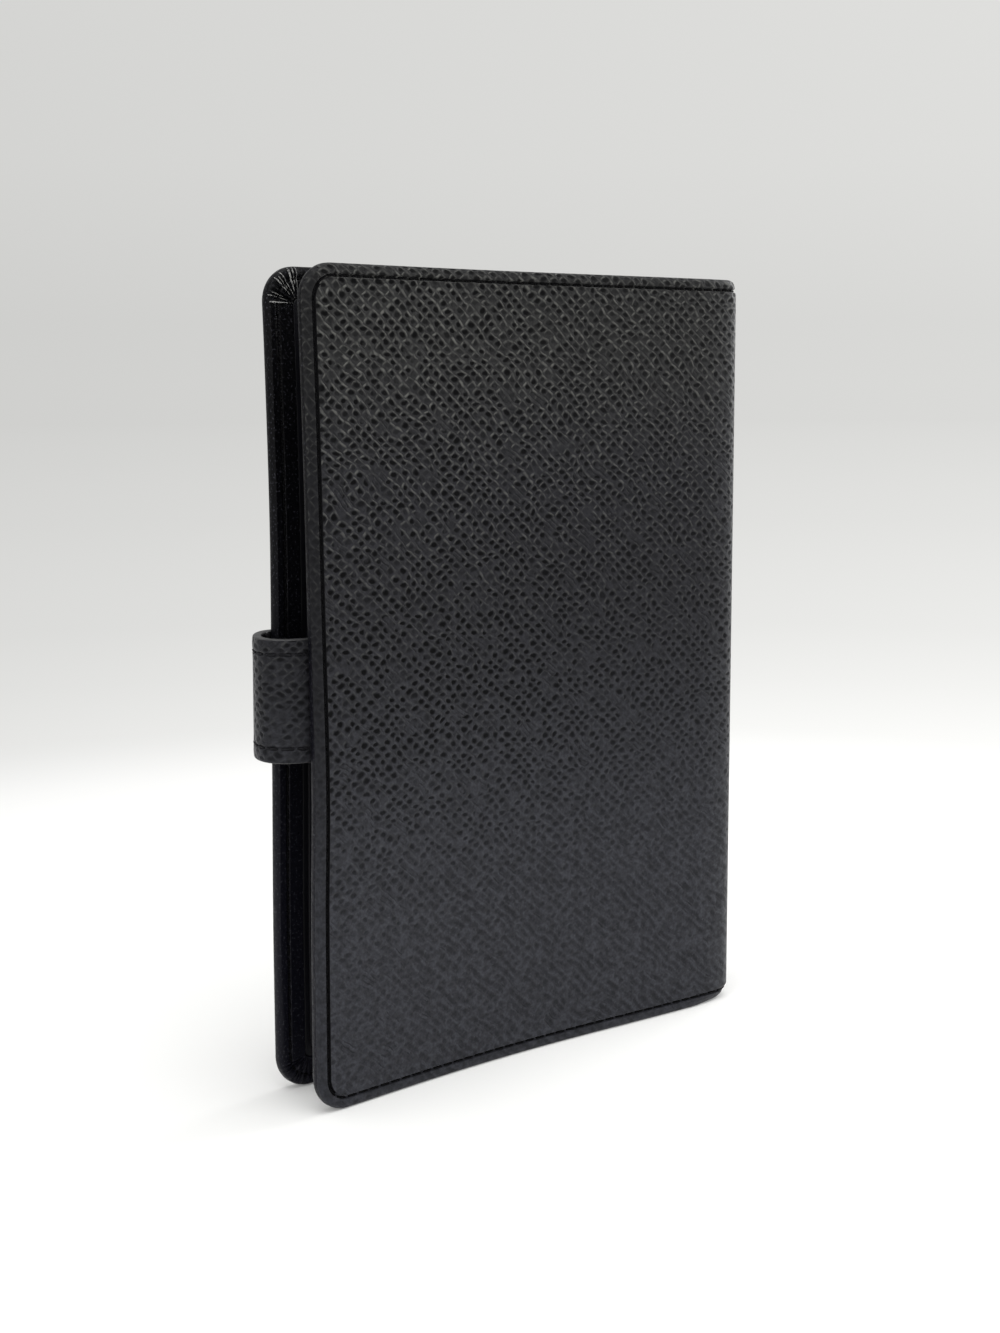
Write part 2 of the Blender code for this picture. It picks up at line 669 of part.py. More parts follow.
def tab_frames():
    frames = []
    for s in spread(STRAP_TAB_LENGTH, STRAP_TURN_INSET, 2):
        point, out = cover_frame(BACK, s)
        frames.append((point - out * (COVER_DEPTH + GAP + STRAP_DEPTH / 2), out))
    stop = split_angle() - gap_angle(split_angle())
    frames += [turn_frame(a) for a in spread(-math.pi / 2, stop, 2)[1:]]
    return frames


def gap_angle(angle):
    return GAP / 2 / turn_heading(angle).length


def loop_frames():
    start = split_angle() + gap_angle(split_angle())
    stop = math.pi / 2 - gap_angle(math.pi / 2)
    return [turn_frame(a) for a in spread(start, stop, LOOP_STEPS)]


def flap_shape():
    """Frames and half widths of the flap, whose end is a half circle."""
    half = STRAP_WIDTH / 2
    places = spread(GAP / 2, STRAP_RISE_LENGTH, 5) + [STUD_PLACE]
    halves = [half] * len(places)
    for i in range(1, CORNER_STEPS + 1):
        angle = math.pi / 2 * i / CORNER_STEPS
        places.append(STUD_PLACE + half * math.sin(angle))
        halves.append(half * math.cos(angle))
    return [flap_frame(v) for v in places], halves


def stud_axis():
    """Foot of the press stud on the front cover's outer face, and its outward axis."""
    point, out = cover_frame(FRONT, STRAP_TURN_INSET - FRONT_SET_BACK + STUD_PLACE)
    return Vector((point.x, point.y, MIDDLE_Z)), Vector((out.x, out.y, 0.0))


def stud_hole(name, radius, near, far):
    centre, axis = stud_axis()
    return turned(name, centre, axis, ((near, radius), (far, radius)))


def strap_leather_hole(name):
    low = SOCKET_TOP - GAP
    return stud_hole(name, STUD_SHANK_RADIUS + GAP, low, low + STRAP_DEPTH + 3 * GAP)


def snap_stud(name):
    centre, axis = stud_axis()
    base = GAP
    neck = base + STUD_FLANGE
    profile = [(base, STUD_FLANGE_RADIUS), (neck, STUD_FLANGE_RADIUS), (neck, STUD_STEM_RADIUS),
               (neck + STUD_HEIGHT * STUD_NECK_TOP, STUD_STEM_RADIUS),
               (neck + STUD_HEIGHT * STUD_BELLY_LOW, STUD_HEAD_RADIUS),
               (neck + STUD_HEIGHT * STUD_BELLY_TOP, STUD_HEAD_RADIUS), (STUD_TOP, STUD_STEM_RADIUS)]
    stud = turned(name, centre, axis, profile)
    bore = stud_hole(name + "_bore", STUD_SHANK_RADIUS + GAP, 0.0, neck + STUD_HEIGHT * STUD_BORE)
    return cut(stud, bore)


def stud_post(name):
    centre, axis = stud_axis()
    head = -(BOARD_TOP + COVER_BOARD)
    tip = STUD_FLANGE + STUD_HEIGHT * STUD_BORE
    profile = [(head, POST_HEAD_RADIUS), (-BOARD_TOP, POST_HEAD_RADIUS), (-BOARD_TOP, STUD_SHANK_RADIUS),
               (tip, STUD_SHANK_RADIUS)]
    return turned(name, centre, axis, profile)


def snap_socket(name):
    centre, axis = stud_axis()
    low = SOCKET_LOW
    high = STUD_TOP + GAP + SOCKET_WALL
    round_start = high - SOCKET_WALL
    profile = [(low, SOCKET_RADIUS - SOCKET_WALL / 2), (low + SOCKET_WALL / 2, SOCKET_RADIUS),
               (round_start, SOCKET_RADIUS), (high, SOCKET_RADIUS - SOCKET_WALL / 2)]
    socket = turned(name, centre, axis, profile)
    cavity = stud_hole(name + "_cavity", STUD_HEAD_RADIUS + GAP, low - GAP, STUD_TOP + GAP)
    bore = stud_hole(name + "_bore", STUD_SHANK_RADIUS + GAP, STUD_TOP, high + GAP)
    return cut(socket, cavity, bore)


def snap_cap(name):
    """Plain domed cap with its shank, which goes through the strap into the socket."""
    centre, axis = stud_axis()
    seat = SOCKET_TOP + STRAP_DEPTH + GAP
    tip = STUD_TOP + GAP
    profile = [(tip, STUD_SHANK_RADIUS), (seat, STUD_SHANK_RADIUS), (seat, CAP_RADIUS - CAP_EDGE / 2),
               (seat + CAP_EDGE / 2, CAP_RADIUS), (seat + CAP_EDGE, CAP_RADIUS)]
    for angle in spread(0.0, math.pi / 2, DOME_STEPS + 1)[1:-1]:
        profile.append((seat + CAP_EDGE + (CAP_HEIGHT - CAP_EDGE) * math.sin(angle),
                        CAP_RADIUS * math.cos(angle)))
    return turned(name, centre, axis, profile)


# Assembly

def fold_point(side):
    """Fold between the spine and a cover, at the outer face of the leather."""
    point, out = spine_corner(side, FOLD_ANGLE)
    return Vector((point.x, point.y, MIDDLE_Z))


def leaf_pivot(side):
    return mechanism_point(side * PIVOT_Y, LEAF_LEVEL, MIDDLE_Z)


def strap_root():
    point, out = turn_frame(split_angle())
    edge = point + out * STRAP_DEPTH / 2
    return Vector((edge.x, edge.y, MIDDLE_Z))


def strap_fold():
    point, out = turn_frame(math.pi / 2)
    edge = point + out * STRAP_DEPTH / 2
    return Vector((edge.x, edge.y, MIDDLE_Z))


def clear_scene():
    for obj in list(bpy.data.objects):
        bpy.data.objects.remove(obj)


def material(name, colour, roughness, metallic):
    made = bpy.data.materials.new(name)
    made.use_nodes = True
    shader = made.node_tree.nodes["Principled BSDF"]
    shader.inputs["Base Color"].default_value = (*colour, 1.0)
    shader.inputs["Roughness"].default_value = roughness
    shader.inputs["Metallic"].default_value = metallic
    return made


def build():
    clear_scene()
    leather = ((0.042, 0.042, 0.047), 0.42, 0.0)
    smooth = ((0.012, 0.012, 0.016), 0.35, 0.0)
    board = ((0.33, 0.25, 0.17), 0.85, 0.0)
    steel = ((0.72, 0.72, 0.74), 0.22, 1.0)
    bodies = {"spine": Vector((0.0, 0.0, MIDDLE_Z)), "back_cover": fold_point(BACK),
              "front_cover": fold_point(FRONT), "left_rings": leaf_pivot(BACK),
              "right_rings": leaf_pivot(FRONT), "strap_loop": strap_root(), "strap_flap": strap_fold()}
    parts = []

    def add(obj, body, finish):
        obj.data.materials.clear()
        obj.data.materials.append(material(obj.name, *finish))
        obj.data.shade_smooth()
        obj.data.set_sharp_from_angle(angle=SMOOTH_ANGLE)
        parts.append((obj, body))

    add(spine_leather("spine_leather"), "spine", leather)
    add(spine_board("spine_board"), "spine", board)
    add(spine_lining("spine_lining"), "spine", smooth)
    add(housing("ring_housing"), "spine", steel)
    for name, sign in (("lower_rivet", -1), ("upper_rivet", 1)):
        add(rivet(name, MIDDLE_Z + sign * RIVET_SPACING / 2), "spine", steel)

    for side, body in ((BACK, "back_cover"), (FRONT, "front_cover")):
        word = body.split("_")[0]
        skin = cover_leather(word + "_leather", side)
        stiffener = cover_board(word + "_board", side)
        if side == FRONT:
            skin = cut(skin, stud_hole("leather_hole", STUD_SHANK_RADIUS + GAP, -BOARD_TOP, GAP))
            depth = BOARD_TOP + COVER_BOARD + GAP
            stiffener = cut(stiffener, stud_hole("board_hole", POST_HEAD_RADIUS + GAP, -depth, 0.0))
        add(skin, body, leather)
        add(stiffener, body, board)
        add(cover_lining(word + "_lining", side), body, smooth)

    low = TURN_IN + GAP
    add(pocket("back_slip_pocket", BACK, 0, BACK_POCKET_FORE_MARGIN, low, SLIP_POCKET_HEIGHT),
        "back_cover", smooth)
    add(pen_loop("pen_loop"), "back_cover", smooth)
    add(pocket("front_slip_pocket", FRONT, 0, POCKET_FORE_MARGIN, low, SLIP_POCKET_HEIGHT),
        "front_cover", smooth)
    for i, (word, top) in enumerate(zip(("upper", "middle", "lower"), CARD_POCKET_TOPS)):
        bottom = max(top - CARD_POCKET_DEPTH, low)
        add(pocket(word + "_card_pocket", FRONT, i + 1, POCKET_FORE_MARGIN, bottom, top),
            "front_cover", smooth)

    for side, body, word in ((BACK, "left_rings", "left"), (FRONT, "right_rings", "right")):
        add(leaf(word + "_leaf", side), body, steel)
        for i, z in enumerate(ring_heights()):
            add(ring_half("%s_ring_half_%d" % (word, i + 1), side, z), body, steel)

    tab = tab_frames()
    loop = loop_frames()
    flap, flap_halves = flap_shape()
    stretches = (("strap_tab", tab, [STRAP_WIDTH / 2] * len(tab), "back_cover"),
                 ("strap_loop", loop, [STRAP_WIDTH / 2] * len(loop), "strap_loop"),
                 ("strap_flap", flap, flap_halves, "strap_flap"))
    for word, frames, halves, body in stretches:
        for layer in ("leather", "lining"):
            piece = strap_stretch("%s_%s" % (word, layer), frames, halves, layer == "leather")
            if body == "strap_flap":
                piece = cut(piece, strap_leather_hole("strap_hole"))
            add(piece, body, leather if layer == "leather" else smooth)

    add(snap_stud("snap_stud"), "front_cover", steel)
    add(stud_post("stud_post"), "front_cover", steel)
    add(snap_socket("snap_socket"), "strap_flap", steel)
    add(snap_cap("snap_cap"), "strap_flap", steel)
    place(parts, bodies)


def place(parts, bodies):
    """Hang each piece on its body's joint axis and centre the whole over the origin."""
    corners = [v.co for obj, body in parts for v in obj.data.vertices]
    low = Vector([min(c[i] for c in corners) for i in range(3)])
    high = Vector([max(c[i] for c in corners) for i in range(3)])
    shift = Vector((-(low.x + high.x) / 2, -(low.y + high.y) / 2, -low.z))
    parents = {"back_cover": "spine", "front_cover": "spine", "left_rings": "spine",
               "right_rings": "spine", "strap_loop": "back_cover", "strap_flap": "strap_loop"}
    axes = {}
    for name, pivot in bodies.items():
        axis = bpy.data.objects.new(name + "_axis", None)
        axis.empty_display_size = STRAP_WIDTH / 2
        bpy.context.scene.collection.objects.link(axis)
        axes[name] = axis
        parent = parents.get(name)
        if parent:
            axis.parent = axes[parent]
            axis.location = pivot - bodies[parent]
        else:
            axis.location = pivot + shift
        world = pivot + shift
        print("%s axis at %.6f %.6f %.6f" % (name, world.x, world.y, world.z))
    for obj, body in parts:
        obj.data.transform(Matrix.Translation(-bodies[body]))
        obj.parent = axes[body]
    size = high - low
    print("size %.5f %.5f %.5f, shift %.6f %.6f" % (size.x, size.y, size.z, shift.x, shift.y))


build()
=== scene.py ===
"""Looks of a small ring agenda cover that stands closed on its lower edge.

Each leather piece is cut flat, as a maker would cut it, given its stitch grooves, and then laid
along a path in plan. In a flat cut X runs along the path, Y is the height from the cover's
middle and Z the height above the path, so that the outer face is at Z = 0.
Lengths are in metres.
"""

import json
import math
import random
from functools import partial

import bpy
from mathutils import Matrix, Vector


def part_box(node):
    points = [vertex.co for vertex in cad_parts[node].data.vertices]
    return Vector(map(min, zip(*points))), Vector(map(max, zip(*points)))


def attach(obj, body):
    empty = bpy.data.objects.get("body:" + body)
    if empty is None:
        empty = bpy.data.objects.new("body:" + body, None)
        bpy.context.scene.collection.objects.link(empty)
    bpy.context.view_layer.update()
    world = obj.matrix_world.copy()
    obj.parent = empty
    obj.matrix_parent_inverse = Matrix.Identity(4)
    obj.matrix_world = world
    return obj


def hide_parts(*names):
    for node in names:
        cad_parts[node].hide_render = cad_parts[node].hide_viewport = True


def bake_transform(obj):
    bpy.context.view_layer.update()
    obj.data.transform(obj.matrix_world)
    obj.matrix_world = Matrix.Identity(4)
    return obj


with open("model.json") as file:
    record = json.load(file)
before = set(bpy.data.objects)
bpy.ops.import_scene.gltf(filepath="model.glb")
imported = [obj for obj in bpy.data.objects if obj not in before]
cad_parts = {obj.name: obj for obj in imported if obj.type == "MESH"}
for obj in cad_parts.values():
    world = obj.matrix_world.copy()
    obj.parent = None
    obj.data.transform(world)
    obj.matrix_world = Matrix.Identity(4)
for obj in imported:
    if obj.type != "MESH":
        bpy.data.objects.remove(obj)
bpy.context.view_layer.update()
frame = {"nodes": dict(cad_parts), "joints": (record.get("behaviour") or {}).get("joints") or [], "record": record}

MM = 0.001

# Closed cover, as in the CAD model
HEIGHT = 140 * MM
WIDTH = 100 * MM
SPINE_THICKNESS = 22 * MM
FORE_EDGE_THICKNESS = 16.1 * MM
FRONT_SET_BACK = 1.8 * MM
SPINE_RADIUS = 5 * MM
CORNER_RADIUS = 6 * MM
COVER_BOW = 2.0 * MM
BOW_POWER_SPINE = 2.0
BOW_POWER_FORE = 1.6
GAP = 0.3 * MM
COVER_DEPTH = 2.4 * MM
SPINE_DEPTH = 2.8 * MM
TURN_IN = 5 * MM
LINING = 0.6 * MM
BOARD_TOP = 1.0 * MM
COVER_BOARD = 0.5 * MM
BOARD_FOLD_MARGIN = 3.0 * MM

# Pockets and pen loop
POCKET_LEATHER = 0.5 * MM
POCKET_GAP = 0.05 * MM
POCKET_FORE_MARGIN = 6.0 * MM
POCKET_SPINE_MARGIN = 18 * MM
BACK_POCKET_FORE_MARGIN = 16.5 * MM
SLIP_POCKET_HEIGHT = 118 * MM
CARD_POCKET_TOPS = (74 * MM, 60 * MM, 46 * MM)
CARD_POCKET_DEPTH = 40 * MM
PEN_LOOP_LEATHER = 0.8 * MM
PEN_LOOP_BORE_WIDTH = 7.8 * MM
PEN_LOOP_BORE_HEIGHT = 6.2 * MM
PEN_LOOP_LENGTH = 20 * MM
PEN_LOOP_CENTRE = 9.8 * MM
PEN_LOOP_MIDDLE = 102 * MM

# Strap and press stud
STRAP_WIDTH = 20.4 * MM
STRAP_DEPTH = 1.5 * MM
STRAP_TAB_LENGTH = 10.5 * MM
STRAP_BULGE = 4.65 * MM
STRAP_SKEW = 0.3
STRAP_TURN_INSET = 2.5 * MM
STRAP_FLAP_LENGTH = 27 * MM
STRAP_RISE_LENGTH = 11 * MM
STUD_FLANGE_RADIUS = 4.2 * MM
STUD_FLANGE = 0.4 * MM
STUD_STEM_RADIUS = 2.1 * MM
STUD_HEAD_RADIUS = 2.5 * MM
STUD_TOP = 2.2 * MM
POST_HEAD_RADIUS = 4.0 * MM
POST_RADIUS = 0.8 * MM
SOCKET_RADIUS = 4.7 * MM
SOCKET_LOW = 1.0 * MM
SOCKET_TOP = 3.2 * MM
CAP_RADIUS = 6 * MM
CAP_HEIGHT = 1.6 * MM
CAP_EDGE = 0.5 * MM

# Ring mechanism
RING_COUNT = 6
RING_PITCH = 19 * MM
RING_BORE = 9.6 * MM
RING_WIRE = 1.8 * MM
RING_SEAT = 4.5 * MM
TIP_LAP = 1.0 * MM

# Sewing
STITCH_INSET = 2.0 * MM
STITCH_PITCH = 2.4 * MM
STITCH_LENGTH = 1.9 * MM
THREAD = 0.42 * MM
GROOVE = 0.45 * MM
THIN_GROOVE = 0.20 * MM
GROOVE_WALL = 0.24 * MM
GROOVE_FLOOR = 0.32 * MM
THREAD_LEVEL = 0.34 * MM
THIN_THREAD_LEVEL = THIN_GROOVE - THREAD * 0.2
POCKET_SEAM = 1.6 * MM
STRAP_SEAM = 2.5 * MM
RIM = 0.8 * MM

# How the covers have warped: outward shift of each fore edge in mm, by height above the foot,
# dying out towards the spine
BACK_WARP = ((0, 0.0), (33, 0.3), (55, 1.1), (84, 0.6), (115, 0.0), (133, -0.6), (140, -0.75))
FRONT_WARP = ((0, -0.3), (30, -0.45), (57, -1.15), (75, -1.55), (98, -1.95), (125, -1.4), (140, -0.8))
WARP_REACH = 75 * MM

# Distances from the middle of a strap hinge, clear of the rings and of the front cover; strap() works out points
# at them but does not use these
BEND_AT_ROOT = 3.5 * MM
BEND_ON_LOOP = 1.2 * MM
BEND_ON_FLAP = 4.0 * MM

BACK = -1
FRONT = 1
MIDDLE_Z = HEIGHT / 2

REACH = WIDTH - SPINE_RADIUS
DROP = (SPINE_THICKNESS - FORE_EDGE_THICKNESS) / 2 - SPINE_RADIUS
LEAN = math.atan2(DROP, REACH) + math.asin(SPINE_RADIUS / math.hypot(REACH, DROP))
BACK_LENGTH = (REACH - SPINE_RADIUS * math.sin(LEAN)) / math.cos(LEAN)
COVER_LENGTH = {BACK: BACK_LENGTH, FRONT: BACK_LENGTH - FRONT_SET_BACK}
SPINE_FLAT = SPINE_THICKNESS / 2 - SPINE_RADIUS
FOLD = SPINE_RADIUS * (math.pi / 2 + LEAN)
LEATHER_REACH = {side: SPINE_FLAT + FOLD + COVER_LENGTH[side] for side in (BACK, FRONT)}

# The spine's outer face and the plane between the covers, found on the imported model
SPINE_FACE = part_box("spine_leather")[1].x
MID_PLANE = (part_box("spine_leather")[0].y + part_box("spine_leather")[1].y) / 2
ORIGIN = Vector((SPINE_FACE, MID_PLANE))


# Paths in plan

def clamp(value):
    return min(max(value, 0.0), 1.0)


def smooth(value, start, stop):
    """Smooth step from 0 at start to 1 at stop."""
    q = clamp((value - start) / (stop - start))
    return q * q * (3 - 2 * q)


def spread(start, stop, count):
    return [start + (stop - start) * i / count for i in range(count + 1)]


def arc(x, y, radius, start, stop, count):
    """Points of a round stretch about (x, y), its angles in degrees."""
    turns = [math.radians(angle) for angle in spread(start, stop, count)]
    return [(x + radius * math.cos(turn), y + radius * math.sin(turn)) for turn in turns]


def spine_corner(side, angle):
    out = Vector((math.cos(angle), side * math.sin(angle)))
    return Vector((-SPINE_RADIUS, side * SPINE_FLAT)) + SPINE_RADIUS * out, out


def bow_shape(q):
    peak = BOW_POWER_SPINE / (BOW_POWER_SPINE + BOW_POWER_FORE)
    top = peak ** BOW_POWER_SPINE * (1 - peak) ** BOW_POWER_FORE
    q = clamp(q)
    return q ** BOW_POWER_SPINE * (1 - q) ** BOW_POWER_FORE / top


def cover_point(side, t):
    """Outer face of a cover, t measured from the end of its fold towards the fore edge."""
    start, out = spine_corner(side, math.pi / 2 + LEAN)
    away = Vector((-math.cos(LEAN), -side * math.sin(LEAN)))
    return start + away * t - out * COVER_BOW * bow_shape(t / BACK_LENGTH)


def leather_path(x):
    """Outer face of the whole leather, x from the spine's middle, negative over the back cover."""
    side = BACK if x < 0 else FRONT
    along = abs(x)
    if along <= SPINE_FLAT:
        return Vector((0.0, side * along)), Vector((1.0, 0.0))
    if along <= SPINE_FLAT + FOLD:
        return spine_corner(side, (along - SPINE_FLAT) / SPINE_RADIUS)
    t = along - SPINE_FLAT - FOLD
    step = 0.05 * MM
    ahead = (cover_point(side, t) - cover_point(side, t - step)).normalized()
    return cover_point(side, t), Vector((side * ahead.y, -side * ahead.x))


def from_fore_edge(side, s):
    """Place on the leather path at distance s from a cover's fore edge."""
    return side * (LEATHER_REACH[side] - s)


def extra_depth(x):
    """How much thicker the spine is than a cover, as a share of the cover's depth."""
    return (SPINE_DEPTH / COVER_DEPTH - 1) * (1 - smooth(abs(x), SPINE_FLAT, SPINE_FLAT + FOLD))


def strap_turn():
    """Centre and half axes of the strap's turn round the fore edges, on its middle line."""
    back_point, back_out = leather_path(from_fore_edge(BACK, STRAP_TURN_INSET))
    tab = back_point - back_out * (COVER_DEPTH + GAP + STRAP_DEPTH / 2)
    front_point, front_out = leather_path(from_fore_edge(FRONT, STRAP_TURN_INSET - FRONT_SET_BACK))
    over = front_point + front_out * (GAP + STRAP_DEPTH / 2)
    centre = Vector((-WIDTH + STRAP_TURN_INSET, (tab.y + over.y) / 2))
    return centre, STRAP_BULGE + STRAP_TURN_INSET - STRAP_DEPTH / 2, (over.y - tab.y) / 2


def flap_point(v):
    """Middle line of the strap over the front cover, where it lifts over the press stud."""
    lift = GAP + (SOCKET_TOP - GAP) * smooth(v, 0.0, STRAP_RISE_LENGTH)
    point, out = leather_path(from_fore_edge(FRONT, STRAP_TURN_INSET - FRONT_SET_BACK + v))
    return point + out * (lift + STRAP_DEPTH / 2)


def measured(points):
    """Path through points: a function from the length along it to the point and its left side."""
    lengths = [0.0]
    for a, b in zip(points, points[1:]):
        lengths.append(lengths[-1] + (b - a).length)

    def path(x):
        i = 0
        while i < len(points) - 2 and lengths[i + 1] < x:
            i += 1
        share = (x - lengths[i]) / (lengths[i + 1] - lengths[i])
        along = (points[i + 1] - points[i]).normalized()
        before = (points[i] - points[max(i - 1, 0)]).normalized() if i else along
        after = points[min(i + 2, len(points) - 1)] - points[i + 1]
        after = after.normalized() if after.length else along
        start, end = (before + along).normalized(), (along + after).normalized()
        heading = start.lerp(end, clamp(share)).normalized()
        return points[i] + along * (x - lengths[i]), Vector((heading.y, -heading.x))

    return path, lengths[-1]


def strap_points():
    """Tab under the back cover, turn round the fore edges and flap over the front cover."""
    points = []
    for s in spread(STRAP_TAB_LENGTH, STRAP_TURN_INSET, 8):
        point, out = leather_path(from_fore_edge(BACK, s))
        points.append(point - out * (COVER_DEPTH + GAP + STRAP_DEPTH / 2))
    tab_length = measured(points)[1]
    centre, reach, depth = strap_turn()
    for angle in spread(-math.pi / 2, math.pi / 2, 48)[1:]:
        lean = 1 - STRAP_SKEW * math.sin(angle)
        points.append(centre + Vector((-reach * lean * math.cos(angle), depth * math.sin(angle))))
    turn_end = measured(points)[1]
    points += [flap_point(v) for v in spread(0.0, STRAP_FLAP_LENGTH, 54)[1:]]
    return points, tab_length, turn_end


def eased(table, value):
    """Value read off a table of (place, value) rows, joined by a smooth curve."""
    last = len(table) - 1
    i = max(k for k in range(last) if table[k][0] <= value or k == 0)
    (a, low), (b, high) = table[i], table[i + 1]

    def slope(k):
        before, after = table[max(k - 1, 0)], table[min(k + 1, last)]
        return (after[1] - before[1]) / (after[0] - before[0]) * (b - a)

    q = clamp((value - a) / (b - a))
    bulge = slope(i) * q * (1 - q) ** 2 - slope(i + 1) * q * q * (1 - q)
    return low + (high - low) * q * q * (3 - 2 * q) + bulge


def warp(point, height):
    """Sideways shift of a place in plan, shared out between the two covers' warps."""
    fade = 1 - clamp((WIDTH + point.x) / WARP_REACH)
    share = clamp(0.5 + point.y / FORE_EDGE_THICKNESS)
    back, front = -eased(BACK_WARP, height / MM), eased(FRONT_WARP, height / MM)
    return (back + (front - back) * share) * MM * fade ** 1.5


# Modelling helpers

SHARP_EDGE = math.radians(35)


def only(piece):
    """Selects one piece and nothing else."""
    bpy.ops.object.select_all(action='DESELECT')
    piece.select_set(True)
    bpy.context.view_layer.objects.active = piece


def shade(piece):
    """Smooth shading with sharp edges kept."""
    only(piece)
    bpy.ops.object.shade_smooth_by_angle(angle=SHARP_EDGE)


def copied(piece, name):
    """A copy of a piece with its own mesh."""
    twin = bpy.data.objects.new(name, piece.data.copy())
    bpy.context.scene.collection.objects.link(twin)
    return twin


def start_piece(name):
    """Names the primitive just added and opens it in edit mode."""
    piece = bpy.context.active_object
    piece.name = name
    piece.data.name = name
    bpy.ops.object.mode_set(mode='EDIT')
    return piece


def finish_piece(piece):
    bpy.ops.object.mode_set(mode='OBJECT')
    return piece


def pick(piece, kind, wanted):
    """Selects in edit mode only the vertices, edges or faces that are wanted."""
    bpy.ops.object.mode_set(mode='OBJECT')
    mesh = piece.data
    bpy.context.tool_settings.mesh_select_mode = [kind == k for k in ('VERT', 'EDGE', 'FACE')]
    groups = {'VERT': mesh.vertices, 'EDGE': mesh.edges, 'FACE': mesh.polygons}
    for elements in groups.values():
        elements.foreach_set("select", [False] * len(elements))
    groups[kind].foreach_set("select", [bool(wanted(e)) for e in groups[kind]])
    bpy.ops.object.mode_set(mode='EDIT')


def face_out():
    """Turns every face in edit mode outwards."""
    bpy.ops.mesh.select_all(action='SELECT')
    bpy.ops.mesh.normals_make_consistent(inside=False)


def cut_across(places, normal):
    """Cuts everything in edit mode by planes square to the normal."""
    for place in places:
        bpy.ops.mesh.select_all(action='SELECT')
        bpy.ops.mesh.bisect(plane_co=Vector(normal) * place, plane_no=normal)


def cut_leather(name, low, high, top, thickness, rim, radii=(0.0, 0.0), segments=8):
    """Flat cut between two corners (x, y), with rounded corners at its low and high X and soft rims."""
    centre = ((low[0] + high[0]) / 2, (low[1] + high[1]) / 2, top)
    bpy.ops.mesh.primitive_plane_add(size=1, calc_uvs=False)
    piece = start_piece(name)
    bpy.ops.transform.resize(value=(high[0] - low[0], high[1] - low[1], 1))
    bpy.ops.transform.translate(value=centre)
    for end, radius in zip((-1, 1), radii):
        if radius > 0:
            pick(piece, 'VERT', lambda v: (v.co.x - centre[0]) * end > (high[0] - low[0]) * 0.499)
            bpy.ops.mesh.bevel(offset=radius, segments=segments, affect='VERTICES')
    bpy.ops.mesh.select_all(action='SELECT')
    bpy.ops.mesh.extrude_region_move(TRANSFORM_OT_translate={"value": (0, 0, -thickness)})
    face_out()

    def on_rim(edge):
        a, b = (piece.data.vertices[i].co.z for i in edge.vertices)
        return abs(a - b) < thickness / 2

    pick(piece, 'EDGE', on_rim)
    bpy.ops.mesh.bevel(offset=rim, segments=3, affect='EDGES')
    return piece


def pick_face(piece, up):
    """Selects the large face that looks up or down in a flat cut."""
    finish_piece(piece)
    level = [f for f in piece.data.polygons if f.normal.z * up > 0.99]
    largest = max(level, key=lambda f: f.area).index
    pick(piece, 'FACE', lambda f: f.index == largest)


def groove_border(inset, rim):
    """Width of the flat strip between a soft rim and the wall of a stitch groove."""
    return inset - rim - GROOVE_WALL - GROOVE_FLOOR / 2


def press_groove(piece, up, inset, rim, deep=GROOVE):
    """Presses a stitch groove into the upper or lower face, at an inset from the outline."""
    pick_face(piece, up)
    border = groove_border(inset, rim)
    crown = 0.06 * MM
    steps = ((border * 0.45, crown), (border * 0.55, -crown / 2), (GROOVE_WALL, -deep),
             (GROOVE_FLOOR, 0.0), (GROOVE_WALL, deep), (border * 0.55, -crown / 2))
    for thickness, depth in steps:
        bpy.ops.mesh.inset(thickness=thickness, depth=depth)


def inset_from(x, y, low, high, radius):
    """Distance in from a rounded outline, up to its corner radius, and the way out to it."""
    inner_x = min(max(x, low[0] + radius), high[0] - radius)
    inner_y = min(max(y, low[1] + radius), high[1] - radius)
    away = Vector((x - inner_x, y - inner_y))
    return radius - away.length, away.normalized()


def unroll(piece, low, high, radius, thickness, below, fine=1.0, along=0.0):
    """Maps the grain onto a flat cut in millimetres, carried on round its turned edges.

    below tells how far a level z lies under the grained face, fine how much smaller the grain is
    and along where on the printed skin the cut was taken.
    """
    mesh = finish_piece(piece).data
    spots = []
    for vertex in mesh.vertices:
        x, y, z = vertex.co
        inset, away = inset_from(x, y, low, high, radius)
        depth = max(below(z), 0.0)
        turned = depth + (2 * inset if depth > thickness / 2 else 0.0)
        spots.append(((x + away.x * turned) / MM * fine + along, (y + away.y * turned) / MM * fine))
    layer = mesh.uv_layers.new(name="grain")
    for loop in mesh.loops:
        layer.data[loop.index].uv = spots[loop.vertex_index]


def set_print(piece, strength):
    """Notes on each vertex how deep the grain is printed there, from 0 to 1."""
    layer = finish_piece(piece).data.attributes.new("print", 'FLOAT', 'POINT')
    for vertex in piece.data.vertices:
        layer.data[vertex.index].value = strength(vertex.co)


def lay(piece, path, thicken=None):
    """Bends a flat cut along a path in plan and sets it at its height."""
    for vertex in finish_piece(piece).data.vertices:
        x, y, z = vertex.co
        if thicken:
            z *= 1 + thicken(x)
        point, out = path(x)
        point = point + out * z
        height = y + MIDDLE_Z
        vertex.co = (ORIGIN.x + point.x, ORIGIN.y + point.y + warp(point, height), height)
    piece.data.update()
    shade(piece)
    return piece


def half(piece, name, side, place=0.0):
    """The part of a flat cut on one side of a place along it, closed there."""
    part = copied(finish_piece(piece), name)
    only(part)
    bpy.ops.object.mode_set(mode='EDIT')
    bpy.ops.mesh.select_all(action='SELECT')
    bpy.ops.mesh.bisect(plane_co=(place, 0, 0), plane_no=(1, 0, 0), use_fill=True,
                        clear_inner=side == FRONT, clear_outer=side == BACK)
    return finish_piece(part)


